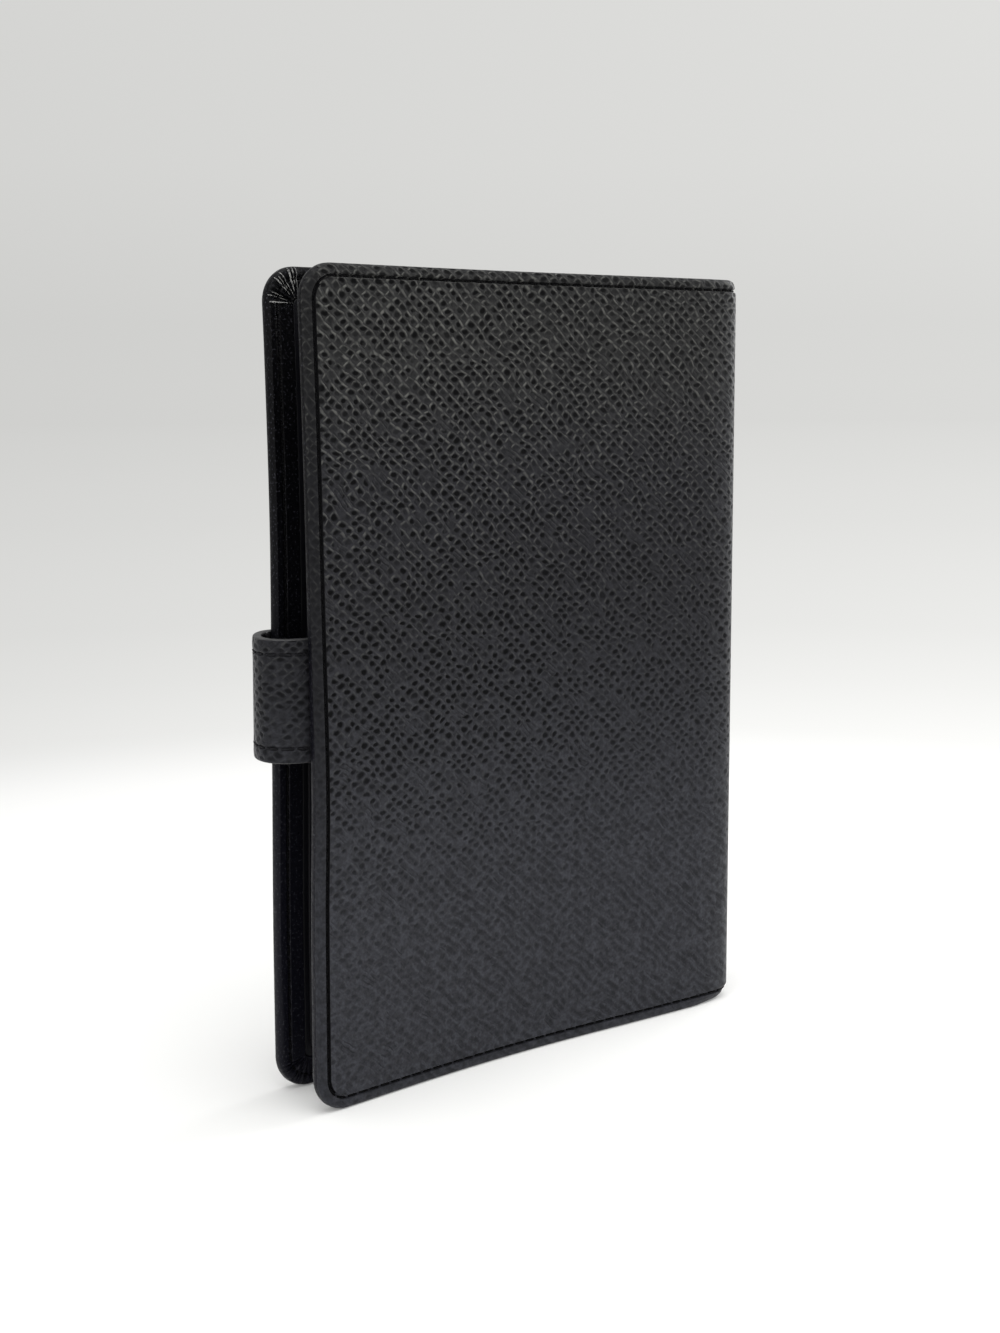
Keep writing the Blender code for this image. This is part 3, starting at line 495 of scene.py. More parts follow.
def rounded_walk(low, high, radius, pitch):
    """Evenly spaced places (x, y, heading) on a closed rounded outline."""
    left, right, foot, head = low[0] + radius, high[0] - radius, low[1] + radius, high[1] - radius
    points = []
    for x, y, start in ((right, foot, -90), (right, head, 0), (left, head, 90), (left, foot, 180)):
        points += arc(x, y, radius, start, start + 90, 8)
    return walk(points + points[:1], pitch)


def walk(points, pitch):
    """Evenly spaced places (x, y, heading) along a line of points."""
    path, length = measured([Vector(p) for p in points])
    count = round(length / pitch)
    places = []
    for i in range(count):
        point, left = path(length * (i + 0.5) / count)
        places.append((point.x, point.y, math.atan2(left.x, -left.y)))
    return places


def sew(name, rows, path, thicken=None):
    """Stitches of one thread, modelled once and copied along rows of (places, level)."""
    bpy.ops.mesh.primitive_uv_sphere_add(segments=8, ring_count=6, radius=THREAD / 2,
                                         rotation=(0, math.pi / 2, 0))
    stitch = bpy.context.active_object
    bpy.ops.object.transform_apply(location=True, rotation=True, scale=True)
    stretch = (STITCH_LENGTH - THREAD) / 2
    for vertex in stitch.data.vertices:
        vertex.co.x += math.copysign(stretch, vertex.co.x) if abs(vertex.co.x) > 0.01 * MM else 0.0
    copies = []
    for places, level in rows:
        for x, y, heading in places:
            copies.append(copied(stitch, name))
            copies[-1].data.transform(Matrix.Translation((x, y, level)) @ Matrix.Rotation(heading, 4, 'Z'))
    bpy.data.objects.remove(stitch)
    only(copies[0])
    for copy in copies:
        copy.select_set(True)
    bpy.ops.object.join()
    copies[0].name = name
    return lay(copies[0], path, thicken)


# Materials

def linear(code):
    """Linear colour of an sRGB hex value."""
    channels = [int(code[i:i + 2], 16) / 255 for i in (1, 3, 5)]
    return tuple(c / 12.92 if c <= 0.04045 else ((c + 0.055) / 1.055) ** 2.4 for c in channels) + (1.0,)


def feed(made, *values, **named):
    """Fills a node's inputs, in order or by name, with values, hex colours or other nodes' outputs."""
    sockets = list(zip([socket for socket in made.inputs if socket.enabled], values))
    for socket, value in sockets + [(made.inputs[name], value) for name, value in named.items()]:
        if isinstance(value, bpy.types.NodeSocket):
            made.id_data.links.new(value, socket)
        else:
            socket.default_value = linear(value) if isinstance(value, str) else value


# The main setting of each kind of node, which is written behind its name
MODES = {'Math': 'operation', 'VectorMath': 'operation', 'MapRange': 'interpolation_type',
         'Mix': 'data_type', 'TexNoise': 'noise_dimensions', 'TexVoronoi': 'voronoi_dimensions',
         'TexWave': 'bands_direction', 'UVMap': 'uv_map', 'Attribute': 'attribute_name'}
TIMES = 'Math.MULTIPLY'
STEP = 'MapRange.SMOOTHSTEP'
MIX = 'Mix.RGBA'
FLAT_NOISE = 'TexNoise.2D'
NOISE = 'TexNoise.3D'


def node(tree, kind, *values, **named):
    """Adds a node with its inputs and gives back its first output."""
    kind, _, mode = kind.partition('.')
    made = tree.nodes.new('ShaderNode' + kind)
    if mode:
        setattr(made, MODES[kind], mode)
    feed(made, *values, **named)
    return next(socket for socket in made.outputs if socket.enabled)


def new_material(name):
    """A material, what adds a node to it and its shader."""
    made = bpy.data.materials.new(name)
    made.use_nodes = True
    return made, partial(node, made.node_tree), made.node_tree.nodes["Principled BSDF"]


def drifted(add, spot, size, reach):
    """Spot moved about by noise with patches of a size, up to about half the reach."""
    drift = add(FLAT_NOISE, spot, 1 / size, 3.0).node.outputs['Color']
    drift = add('VectorMath.SCALE', add('VectorMath.SUBTRACT', drift, (0.5, 0.5, 0.5)), reach)
    return add('VectorMath.ADD', spot, drift)


def finish(add, shader, colour, rough, height, depth, specular):
    """Joins a material's colour, roughness and relief, with the bump's depth in metres."""
    bump = add('Bump', Height=height, Distance=depth)
    feed(shader, **{'Base Color': colour, 'Specular IOR Level': specular}, Roughness=rough, Normal=bump)


# Printed grain, in millimetres on the leather: pits in rows, each row half a step aside
PIT_STEP = 2.48
PIT_ROW = 1.05
GRAIN_DEPTH = 0.15 * MM


def grained_leather():
    """Cross-grain calf, printed with a hot plate of diagonal diamonds and finished semi-matt.

    The plate leaves pits, painted near black as the shade in them, each with a raised rim on its upper side,
    painted pale grey as the highlight it catches.
    It pressed hardest at the head of the cover; where it hardly touched, and towards the foot and
    the spine, only fine diagonal lines are left.
    """
    made, add, shader = new_material("cross_grain_leather")
    spot = add('UVMap.grain')
    moved = drifted(add, drifted(add, drifted(add, spot, 11.0, 2.0), 4.0, 1.0), 1.3, 0.26)
    scale = (math.sqrt(2) / PIT_STEP, 1 / math.sqrt(2) / PIT_ROW, 1)
    cells = add('Mapping', moved, Rotation=(0, 0, math.radians(45)), Scale=scale)
    pits = add('TexVoronoi.2D', cells, 1.0, Randomness=0.23).node.outputs
    chance, wide, bright = add('SeparateColor', pits['Color']).node.outputs
    local = add('VectorMath.SUBTRACT', cells, pits['Position'])
    flat = [add('VectorMath.DOT_PRODUCT', local, way) for way in ((0.61, 0.61, 0.0), (0.79, -0.79, 0.0))]
    reach = add('Math.POWER', add('Math.ADD', *[add(TIMES, length, length) for length in flat]), 0.5)
    down_right, up_right, _ = add('SeparateXYZ', local).node.outputs
    across, high, _ = add('SeparateXYZ', spot).node.outputs
    across = add('Math.ABSOLUTE', across)
    border = add('Attribute.print').node.outputs['Fac']

    # how deep the plate went in: by patches, by height and by distance from the spine
    missed = add(STEP, add(FLAT_NOISE, spot, 1 / 4.2, 2.0), 0.44, 0.30)
    missed = add(TIMES, missed, add(STEP, high, 65, 35, 0.5, 1.0))
    pressed = add(TIMES, add(STEP, missed, 1.0, 0.0, 0.22, 1.0), add(STEP, high, -54, 2, 0.36, 1.0))
    pressed = add(TIMES, add(TIMES, pressed, add(STEP, across, 25, 80, 0.80, 1.0)), border)

    edge = add('Math.ADD', add(TIMES, wide, 0.18), 0.38)
    # pits: the mask for the hollows, also used to paint them near black as the shade in them
    pit_and_shade = add(TIMES, add(STEP, reach, 0.16, edge, 1.0, 0.0), add(STEP, chance, 0.0, 0.45, 0.45, 1.0))
    pit_and_shade = add(TIMES, pit_and_shade, pressed)

    # raised rims above each of the pits, painted pale grey as highlights: a short one on its left, and one on its
    # right that joins up in rows
    lips_and_highlights = []
    for out, along, end, most in ((add(TIMES, down_right, -1.0), up_right, 0.46, (0.15, 1.0, 0.06, 0.48)),
                                  (up_right, down_right, 0.74, (0.85, 0.0, 0.17, 0.44))):
        fade = add(STEP, out, 0.66, 0.48, 0.0, add(STEP, bright, *most))
        lip_and_highlight = add(TIMES, add(STEP, out, 0.24, 0.42), fade)
        lips_and_highlights.append(add(TIMES, lip_and_highlight, add(STEP, add('Math.ABSOLUTE', along), end, 0.08)))
    # the painted highlight on the rims is strongest towards the head, where the light falls from above
    lip_and_highlight = add(TIMES, pressed, add(STEP, high, -10, 65, 0.14, 1.0))
    lip_and_highlight = add(TIMES, add('Math.MAXIMUM', *lips_and_highlights), lip_and_highlight)

    # lines that run down to the right: fine ones where the plate missed, grooves near the foot; they take the
    # near-black painted shade of the pits
    row = add('SeparateXYZ', cells).node.outputs['Y']
    lines = add(STEP, add('Math.COSINE', add(TIMES, row, 4 * math.pi)), 0.2, -1.0)
    lines = add(TIMES, lines, add(STEP, missed, 0.0, 1.0, 0.5, 1.1))
    groove = add(STEP, add('Math.ABSOLUTE', up_right), 0.10, 0.42, 1.0, 0.0)
    groove = add(TIMES, groove, add(TIMES, add(STEP, across, 120, 75), add(STEP, high, 2, -45)))
    breaks = add(TIMES, add(STEP, add(FLAT_NOISE, moved, 1 / 3.4, 2.0), 0.36, 0.58), 0.40)
    hatch = add(TIMES, add(TIMES, add('Math.MAXIMUM', lines, groove), breaks), border)
    pit_and_shade = add('Math.MAXIMUM', pit_and_shade, hatch)

    pores = add(FLAT_NOISE, spot, 1 / 0.50, 2.0)
    clouds = add(FLAT_NOISE, spot, 1 / 1.5, 3.0)
    # painted light: the face is shaded by height, lighter and bluer at the foot where light comes up off the floor
    # and darkest about the middle; over the spine it is painted lighter as a sheen
    face = add(MIX, add(STEP, high, -42, 22), "#3e3f45", "#2c2c30")
    face = add(MIX, add(STEP, high, 30, 62), face, "#323232")
    face = add(MIX, add(STEP, across, 21, 8, 0.0, 0.45), face, "#5c5d60")
    # the strip outside the stitches goes much darker, and lighter at the foot as painted light, as on the face
    face = add(MIX, border, add(MIX, add(STEP, high, -45, 5), "#303136", "#131315"), face)
    face = add(MIX, add(STEP, pores, 0.25, 0.75, 0.0, 0.34), face, "#0e0e10")
    face = add(MIX, add(STEP, clouds, 0.38, 0.66, 0.0, 0.42), face, "#18181a")
    # painted light and shade: a pale grey highlight on the raised rims, and near-black shade in the pits
    face = add(MIX, pit_and_shade, add(MIX, lip_and_highlight, face, "#84847f"), "#020203")
    relief = add('Math.ADD', add('Math.SUBTRACT', add(TIMES, lip_and_highlight, 0.35), pit_and_shade), add(TIMES, pores, 0.25))
    finish(add, shader, face, add(STEP, pit_and_shade, 0.0, 1.0, 0.42, 0.80), relief, GRAIN_DEPTH, 0.08)
    feed(shader, **{'Sheen Weight': 0.14, 'Sheen Roughness': 0.30})
    return made


def shaded_turned_in_leather():
    """The same calf where it is skived, glued down and rubbed to a shine on the inner side, painted near black as
    the shade inside the cover, a little lighter towards the foot.
    """
    made, add, shader = new_material("shaded_turned_in_leather")
    spot = add('UVMap.grain')
    pores = add(FLAT_NOISE, spot, 1 / 0.7, 4.0)
    specks = add(STEP, add(FLAT_NOISE, spot, 1 / 0.45, 1.0), 0.62, 0.76, 0.0, 0.8)
    high = add('SeparateXYZ', spot).node.outputs['Y']
    face = add(MIX, specks, add(MIX, add(STEP, high, -50, 50), "#121219", "#08080a"), "#34343a")
    relief = add('Math.ADD', pores, add('TexVoronoi.2D', spot, 0.6))
    finish(add, shader, face, add(STEP, pores, 0.2, 0.8, 0.25, 0.5), relief, 0.06 * MM, 0.08)
    return made


def lining_leather():
    """Smooth black lining calf, glazed, with fine pores and faint creases."""
    made, add, shader = new_material("glazed_lining_leather")
    spot = add('TexCoord').node.outputs['Object']
    pores = add('TexVoronoi', spot, 1 / (0.55 * MM))
    clouds = add(NOISE, spot, 1 / (16 * MM), 3.0)
    relief = add('Math.MULTIPLY_ADD', add(NOISE, spot, 1 / (3 * MM), 4.0), 4.0, pores)
    face = add(MIX, clouds, "#0c0c0f", "#16161a")
    finish(add, shader, face, add(STEP, clouds, 0.2, 0.8, 0.28, 0.44), relief, 0.03 * MM, 0.20)
    return made


def nickel_plate():
    """Polished nickel on pressed steel: a warm mirror with faint drawing lines and rubbed spots."""
    made, add, shader = new_material("polished_nickel_plate")
    spot = add('TexCoord').node.outputs['Object']
    lines = add(NOISE, add('Mapping', spot, Scale=(1, 1, 0.06)), 1 / (0.4 * MM), 2.0)
    rubbed = add(NOISE, spot, 1 / (7 * MM), 3.0)
    face = add(MIX, rubbed, "#c3bfb8", "#d6d3cd")
    finish(add, shader, face, add(STEP, rubbed, 0.2, 0.8, 0.12, 0.30), lines, 0.004 * MM, 0.5)
    feed(shader, Metallic=1.0)
    return made


def two_toned(name, texture, size, detail, dark, light, rough, depth, specular, span=None):
    """A finish whose two tones and relief follow one texture of a size, noise or distorted waves."""
    made, add, shader = new_material(name)
    spot = add('UVMap.grain') if texture == FLAT_NOISE else add('TexCoord').node.outputs['Object']
    relief = add(texture, spot, 1 / size, detail)
    tone = add(STEP, relief, *span) if span else relief
    finish(add, shader, add(MIX, tone, dark, light), rough, relief, depth, specular)
    return made


GRAINED = grained_leather()
TURNED_IN_SHADE = shaded_turned_in_leather()
SMOOTH = lining_leather()
NICKEL = nickel_plate()

# Bottom and walls of the stitch groove, creased with a hot iron that burns the dye black, and painted darker still
# as the shade that falls in the groove
CREASE_AND_SHADE = two_toned("sewn_crease_and_shade", FLAT_NOISE, 0.7, 3.0, "#040405", "#141416", 0.7, 0.10 * MM, 0.05)

# Ridges of the gathered leather at the upper corners, painted light grey as highlights, and shiny
PLEAT_HIGHLIGHT = two_toned("pleat_highlight", FLAT_NOISE, 0.5, 2.0, "#3c3c3e", "#9b9b98", 0.3, 0.05 * MM, 0.5,
                  span=(0.35, 0.6))

# Cut edge of the strap: both leathers dyed black, waxed and rubbed smooth with a stick
EDGE = two_toned("burnished_leather_edge", NOISE, 1.8 * MM, 4.0, "#242425", "#454546", 0.5, 0.06 * MM, 0.3)

# Black waxed polyester thread, twisted from three strands, greyer on the strap where it is handled
THREADS, WORN_THREADS = [two_toned(name, 'TexWave.DIAGONAL', 0.9 * MM, 1.0, dark, light, 0.5, 0.05 * MM, 0.05)
                         for name, dark, light in (("waxed_thread", "#050506", "#0e0e10"),
                                                   ("worn_strap_thread", "#141416", "#1f1f22"))]

# Grey-brown millboard, rolled from pulp, with short fibres
BOARD = two_toned("grey_millboard", NOISE, 0.6 * MM, 5.0, "#7d6f5d", "#9c8d79", 0.9, 0.05 * MM, 0.5)


def dress(piece, material, nodes=(), body=None):
    """Gives a piece its finish, the solids that it stands for and the body that it rides on."""
    piece.data.materials.clear()
    piece.data.materials.append(material)
    if nodes:
        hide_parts(*nodes)
    if body:
        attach(piece, body)


# Outer leather

FOLD_STATIONS = spread(0.0, SPINE_FLAT + FOLD + 1.0 * MM, 20)[1:]


def bend_cuts(low, high, step):
    """Places along a flat cut where it has to bend, closer together over the folds."""
    places = [side * x for side in (BACK, FRONT) for x in FOLD_STATIONS] + [0.0]
    far = FOLD_STATIONS[-1]
    for side in (BACK, FRONT):
        end = LEATHER_REACH[side]
        places += [side * x for x in spread(far, end, round((end - far) / step))[1:-1]]
    return [x for x in places if low + 0.1 * MM < x < high - 0.1 * MM]


def cut_to_bend(low, high, step=3 * MM):
    """Cuts across a flat cut between two corners, so that it can follow the folds and the warp."""
    cut_across(bend_cuts(low[0], high[0], step), (1, 0, 0))
    margin = 3 * MM
    heights = spread(-HEIGHT / 2, HEIGHT / 2, 24)
    cut_across([y for y in heights if low[1] + margin < y < high[1] - margin], (0, 1, 0))


def round_spine_ends(piece):
    """Fills the spine out a little and draws it in where it is sewn down and turned over its ends."""
    for vertex in piece.data.vertices:
        x, y, z = vertex.co
        inset = max(HEIGHT / 2 - abs(y), 0.0)
        near = 1 - clamp(inset / (2.4 * MM))
        draw, dip = (0.5 * MM, 0.25 * MM) if y > 0 else (1.9 * MM, 0.6 * MM)
        pull = draw * (1 - math.sqrt(1 - near * near)) + dip * smooth(inset, 2.9 * MM, 1.9 * MM) - 0.25 * MM
        flat = 1 - smooth(abs(x), SPINE_FLAT + FOLD * 0.6, SPINE_FLAT + FOLD + 7 * MM)
        vertex.co.z -= pull * flat * (1 + z / COVER_DEPTH)


def border_print(place, low, high):
    """The grain is rubbed down on the strip outside the stitches, most at the fore edges."""
    inset = inset_from(place.x, place.y, low, high, CORNER_RADIUS)[0]
    fore_edge = min(place.x - low[0], high[0] - place.x)
    strip = 1 - smooth(inset, 1.5 * MM, 2.6 * MM)
    return 1 - strip * (0.65 if fore_edge < 3 * MM else 0.12)


def leather_finish(face, low, high):
    """Which finish a face of the outer leather takes: grain, turned-in side painted near black as shade, crease
    darkened with painted shade, or pleat ridges painted as highlights.
    """
    x, y, z = face.center
    inset, away = inset_from(x, y, low, high, CORNER_RADIUS)
    # inner faces take the turned-in finish, painted as shade; on the front cover it reaches further out, over its
    # fore edge, which lies in shade
    if z < -COVER_DEPTH * (0.5 if x < 0 else 0.2):
        ridge, number = pleat_ridge(x, y, low, high)
        return 3 if z < -COVER_DEPTH * 0.8 and y > 0 and ridge > 0.55 and number % 7 != 5 else 1
    return 2 if inset > RIM + 0.3 * MM and z < -0.1 * MM and abs(away.x) > abs(away.y) else 0


PLEATS = 9


def pleat_ridge(x, y, low, high):
    """How near a place is to the ridge of a corner pleat, from 0 to 1, and the pleat's number."""
    for corner, (sx, sy) in enumerate(((-1, -1), (-1, 1), (1, -1), (1, 1))):
        centre = Vector(((low[0] if sx < 0 else high[0]) - sx * CORNER_RADIUS,
                         (low[1] if sy < 0 else high[1]) - sy * CORNER_RADIUS))
        away = Vector(((x - centre.x) * sx, (y - centre.y) * sy))
        if away.x < 0 or away.y < 0:
            continue
        turn = math.atan2(away.y, away.x) / (math.pi / 2) * PLEATS
        turn += 0.35 * math.sin(turn * 1.9 + corner)
        number = min(max(int(turn + 0.5), 0), PLEATS)
        start = (0.6 + 0.7 * (number % 3)) * MM
        reach = smooth(away.length, CORNER_RADIUS + 0.1 * MM, CORNER_RADIUS - 0.5 * MM)
        reach *= smooth(away.length, start, start + 1.5 * MM)
        return (1 - abs(math.sin(turn * math.pi))) * reach, corner * (PLEATS + 1) + number
    return 0.0, 0


def corner_pleats(piece, low, high):
    """Gathers the leather that is turned in round each corner into small radial pleats."""
    rng = random.Random(4)
    heights = [rng.uniform(0.6, 1.0) for _ in range(4 * (PLEATS + 1))]
    for vertex in piece.data.vertices:
        x, y, z = vertex.co
        if z < -COVER_DEPTH * 0.8:
            ridge, number = pleat_ridge(x, y, low, high)
            vertex.co.z -= 0.45 * MM * ridge ** 2 * heights[number]


def outer_leather():
    """The whole outer leather, cut flat with its edges turned in, then parted at the spine."""
    low = (-LEATHER_REACH[BACK], -HEIGHT / 2)
    high = (LEATHER_REACH[FRONT], HEIGHT / 2)
    whole = cut_leather("leather_cut", low, high, 0.0, COVER_DEPTH, RIM,
                        radii=(CORNER_RADIUS, CORNER_RADIUS), segments=90)
    press_groove(whole, 1, STITCH_INSET, RIM)
    bpy.ops.mesh.inset(thickness=0.8 * MM, depth=0.0)
    press_groove(whole, -1, STITCH_INSET, RIM, THIN_GROOVE)
    done = STITCH_INSET + groove_border(STITCH_INSET, RIM) * 0.55 + GROOVE_WALL + GROOVE_FLOOR / 2
    for _ in range(2):
        bpy.ops.mesh.inset(thickness=(TURN_IN - done) / 2, depth=0.0)
    bpy.ops.mesh.inset(thickness=0.05 * MM, depth=-LINING)
    finish_piece(whole)
    corner_pleats(whole, low, high)
    bpy.ops.object.mode_set(mode='EDIT')
    cut_to_bend(low, high, 2.0 * MM)
    unroll(whole, low, high, CORNER_RADIUS, COVER_DEPTH, lambda z: -z)
    set_print(whole, lambda place: border_print(place, low, high))
    round_spine_ends(whole)
    for material in (GRAINED, TURNED_IN_SHADE, CREASE_AND_SHADE, PLEAT_HIGHLIGHT):
        whole.data.materials.append(material)
    finishes = [leather_finish(f, low, high) for f in whole.data.polygons]
    whole.data.polygons.foreach_set("material_index", finishes)
    seam = rounded_walk([place + STITCH_INSET for place in low], [place - STITCH_INSET for place in high],
                        CORNER_RADIUS - STITCH_INSET, STITCH_PITCH)
    for side, body, nodes in ((BACK, "back_cover", ("back_leather", "spine_leather")),
                              (FRONT, "front_cover", ("front_leather",))):
        word = body.split("_")[0]
        leather = lay(half(whole, word + "_outer_leather", side), leather_path, extra_depth)
        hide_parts(*nodes)
        places = [p for p in seam if p[0] * side > 0]
        rows = ((places, -THREAD_LEVEL), (places, THIN_THREAD_LEVEL - COVER_DEPTH))
        stitches = sew(word + "_edge_stitches", rows, leather_path, extra_depth)
        dress(stitches, THREADS)
        bend(leather)
        bend(stitches)
    bpy.data.objects.remove(whole)


def bend(piece):
    """Bakes a piece's placement into its mesh."""
    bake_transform(piece)


def linings():
    """Lining leather let into the turned-in border, also parted at the spine."""
    inset = TURN_IN + 0.15 * MM
    low = (-LEATHER_REACH[BACK] + inset, -HEIGHT / 2 + inset)
    high = (LEATHER_REACH[FRONT] - inset, HEIGHT / 2 - inset)
    whole = cut_leather("lining_cut", low, high, 0.02 * MM - COVER_DEPTH + LINING, LINING, 0.15 * MM,
                        radii=(1.2 * MM, 1.2 * MM), segments=4)
    cut_to_bend(low, high)
    for side, body, nodes in ((BACK, "back_cover", ("back_lining", "spine_lining")),
                              (FRONT, "front_cover", ("front_lining",))):
        lining = lay(half(whole, body.split("_")[0] + "_lining_leather", side), leather_path, extra_depth)
        dress(lining, SMOOTH, nodes)
        bend(lining)
    bpy.data.objects.remove(whole)


def boards():
    """Millboard stiffeners between the outer leather and the lining of each cover."""
    for side, body in ((BACK, "back_cover"), (FRONT, "front_cover")):
        ends = sorted(from_fore_edge(side, s) for s in (BOARD_TOP, COVER_LENGTH[side] - BOARD_FOLD_MARGIN))
        low = (ends[0], BOARD_TOP - HEIGHT / 2)
        high = (ends[1], HEIGHT / 2 - BOARD_TOP)
        radii = (CORNER_RADIUS - BOARD_TOP, 0.0)[::-side]
        name = body.replace("cover", "millboard")
        board = cut_leather(name, low, high, -BOARD_TOP, COVER_BOARD, 0.05 * MM, radii)
        cut_to_bend(low, high)
        dress(lay(board, leather_path), BOARD, (body.replace("cover", "board"),), body)


# Pockets and pen loop

def pocket(name, side, layer, fore_margin, bottom, top, body):
    """Pocket leather on a cover's lining, creased along its mouth and sewn on its other sides."""
    depth = COVER_DEPTH + POCKET_GAP + layer * (POCKET_LEATHER + GAP)
    ends = sorted(from_fore_edge(side, s) for s in (fore_margin, COVER_LENGTH[side] - POCKET_SPINE_MARGIN))
    low = (ends[0], bottom - MIDDLE_Z)
    high = (ends[1], top - MIDDLE_Z)
    rim = 0.15 * MM
    piece = cut_leather(name, low, high, -depth, POCKET_LEATHER, rim, radii=(3.0 * MM, 3.0 * MM))
    press_groove(piece, -1, POCKET_SEAM, rim, THIN_GROOVE)
    cut_to_bend(low, high)
    dress(lay(piece, leather_path), SMOOTH, (name.replace("_leather", ""),), body)
    left, right, foot, head = (low[0] + POCKET_SEAM, high[0] - POCKET_SEAM,
                               low[1] + POCKET_SEAM, high[1] - POCKET_SEAM)
    places = walk([(left, head), (left, foot), (right, foot), (right, head)], STITCH_PITCH)
    level = THIN_THREAD_LEVEL - depth - POCKET_LEATHER
    dress(sew(name + "_stitches", ((places, level),), leather_path), THREADS, body=body)


def pockets():
    bottom = TURN_IN + GAP
    for word, side, margin in (("back", BACK, BACK_POCKET_FORE_MARGIN),
                               ("front", FRONT, POCKET_FORE_MARGIN)):
        pocket(word + "_slip_pocket_leather", side, 0, margin, bottom, SLIP_POCKET_HEIGHT, word + "_cover")
    for i, (word, top) in enumerate(zip(("upper", "middle", "lower"), CARD_POCKET_TOPS)):
        pocket(word + "_card_pocket_leather", FRONT, i + 1, POCKET_FORE_MARGIN,
               max(top - CARD_POCKET_DEPTH, bottom), top, "front_cover")


def pen_loop():
    """Strip of lining leather bent to a loop over a flat foot that lies on the lining."""
    width = (PEN_LOOP_BORE_WIDTH + PEN_LOOP_LEATHER) / 2
    height = PEN_LOOP_BORE_HEIGHT + PEN_LOOP_LEATHER
    point, out = leather_path(from_fore_edge(BACK, PEN_LOOP_CENTRE))
    base = point - out * (COVER_DEPTH + POCKET_GAP + PEN_LOOP_LEATHER / 2)
    along = Vector((-out.y, out.x))
    foot = 1.3 * MM
    side = arc(width - foot, foot, foot, -90, 0, 6)
    shape = [(0.0, 0.0)] + side
    for turn in spread(0.0, math.pi, 24)[1:]:
        rise = (height - foot * 1.6) * math.sin(turn) ** 0.8
        shape.append((width * math.cos(turn), foot * 1.6 + rise))
    shape += [(-x, y) for x, y in reversed(side)] + [(0.0, 0.0)]
    path, length = measured([base + along * u - out * v for u, v in shape])
    middle = PEN_LOOP_MIDDLE - MIDDLE_Z
    low, high = (0.0, middle - PEN_LOOP_LENGTH / 2), (length, middle + PEN_LOOP_LENGTH / 2)
    piece = cut_leather("pen_loop_leather", low, high, PEN_LOOP_LEATHER / 2, PEN_LOOP_LEATHER, 0.2 * MM)
    cut_across(spread(0.0, length, 64)[1:-1], (1, 0, 0))
    dress(lay(piece, path), SMOOTH, ("pen_loop",), "back_cover")


# Strap

def strap():
    """Double strap: tab under the back cover, turn round the fore edges, flap with the snap."""
    points, tab_end, turn_end = strap_points()
    path, length = measured(points)
    low = (0.0, -STRAP_WIDTH / 2)
    high = (length, STRAP_WIDTH / 2)
    top = STRAP_DEPTH / 2
    rim = 0.3 * MM
    whole = cut_leather("strap_cut", low, high, top, STRAP_DEPTH, rim,
                        radii=(0.0, STRAP_WIDTH / 2 - 0.2 * MM), segments=16)
    for up in (1, -1):
        press_groove(whole, up, STRAP_SEAM, rim, THIN_GROOVE)
    cut_across(spread(0.0, length, 90)[1:-1], (1, 0, 0))
    unroll(whole, low, high, 1.0 * MM, STRAP_DEPTH, lambda z: z + STRAP_DEPTH / 2, 1.1, 100.0)
    set_print(whole, lambda place: 0.76)
    radius = STRAP_WIDTH / 2 - STRAP_SEAM
    line = arc(length - STRAP_WIDTH / 2, 0.0, radius, -90, 90, 16)
    places = walk([(0.0, -radius)] + line + [(0.0, radius)], STITCH_PITCH)
    middle = (tab_end + turn_end) / 2
    root, fold = [next(Vector(j["pos_m"]) for j in frame["joints"] if j["name"] == name)
                  for name in ("strap_root_hinge", "strap_flap_hinge")]
    round_root = BEND_AT_ROOT * Vector((1, -0.3, 0))
    along = Vector((1, 0, 0))
    stretches = (("strap_root", BACK, "back_cover", "strap_loop", root + round_root, root - round_root,
                  ("strap_tab_leather", "strap_tab_lining", "strap_loop_leather", "strap_loop_lining")),
                 ("strap_end", FRONT, "strap_loop", "strap_flap", fold - along * BEND_ON_LOOP,
                  fold + along * BEND_ON_FLAP, ("strap_flap_leather", "strap_flap_lining")))
    for word, part, body_a, body_b, start, end, nodes in stretches:
        piece = half(whole, word + "_leather", part, middle)
        inner = [f.index for f in piece.data.polygons if f.center.z > STRAP_DEPTH * 0.3]
        edges = [f.index for f in piece.data.polygons
                 if abs(f.normal.z) < 0.9 and abs(f.center.y) > high[1] - rim]
        dress(lay(piece, path), GRAINED, nodes)
        for material, faces in ((SMOOTH, inner), (EDGE, edges)):
            piece.data.materials.append(material)
            for index in faces:
                piece.data.polygons[index].material_index = len(piece.data.materials) - 1
        mine = [p for p in places if (p[0] - middle) * part > 0]
        rows = ((mine, top - THIN_THREAD_LEVEL), (mine, THIN_THREAD_LEVEL - top))
        stitches = sew(word + "_stitches", rows, path)
        dress(stitches, WORN_THREADS)
        for item in (piece, stitches):
            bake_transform(item)
    bpy.data.objects.remove(whole)


# Press stud and rings

def turned(name, profile, sides=48):
    """Solid turned about Z, drawn up from a disc through pairs of height and radius."""
    level, radius = profile[0]
    bpy.ops.mesh.primitive_circle_add(vertices=sides, radius=radius, fill_type='NGON', calc_uvs=False)
    piece = start_piece(name)
    bpy.ops.mesh.select_all(action='SELECT')
    bpy.ops.transform.translate(value=(0, 0, level))
    for next_level, next_radius in profile[1:]:
        bpy.ops.mesh.extrude_region_move(TRANSFORM_OT_translate={"value": (0, 0, next_level - level)})
        bpy.ops.transform.resize(value=(next_radius / radius, next_radius / radius, 1))
        level, radius = next_level, next_radius
    face_out()
    return finish_piece(piece)


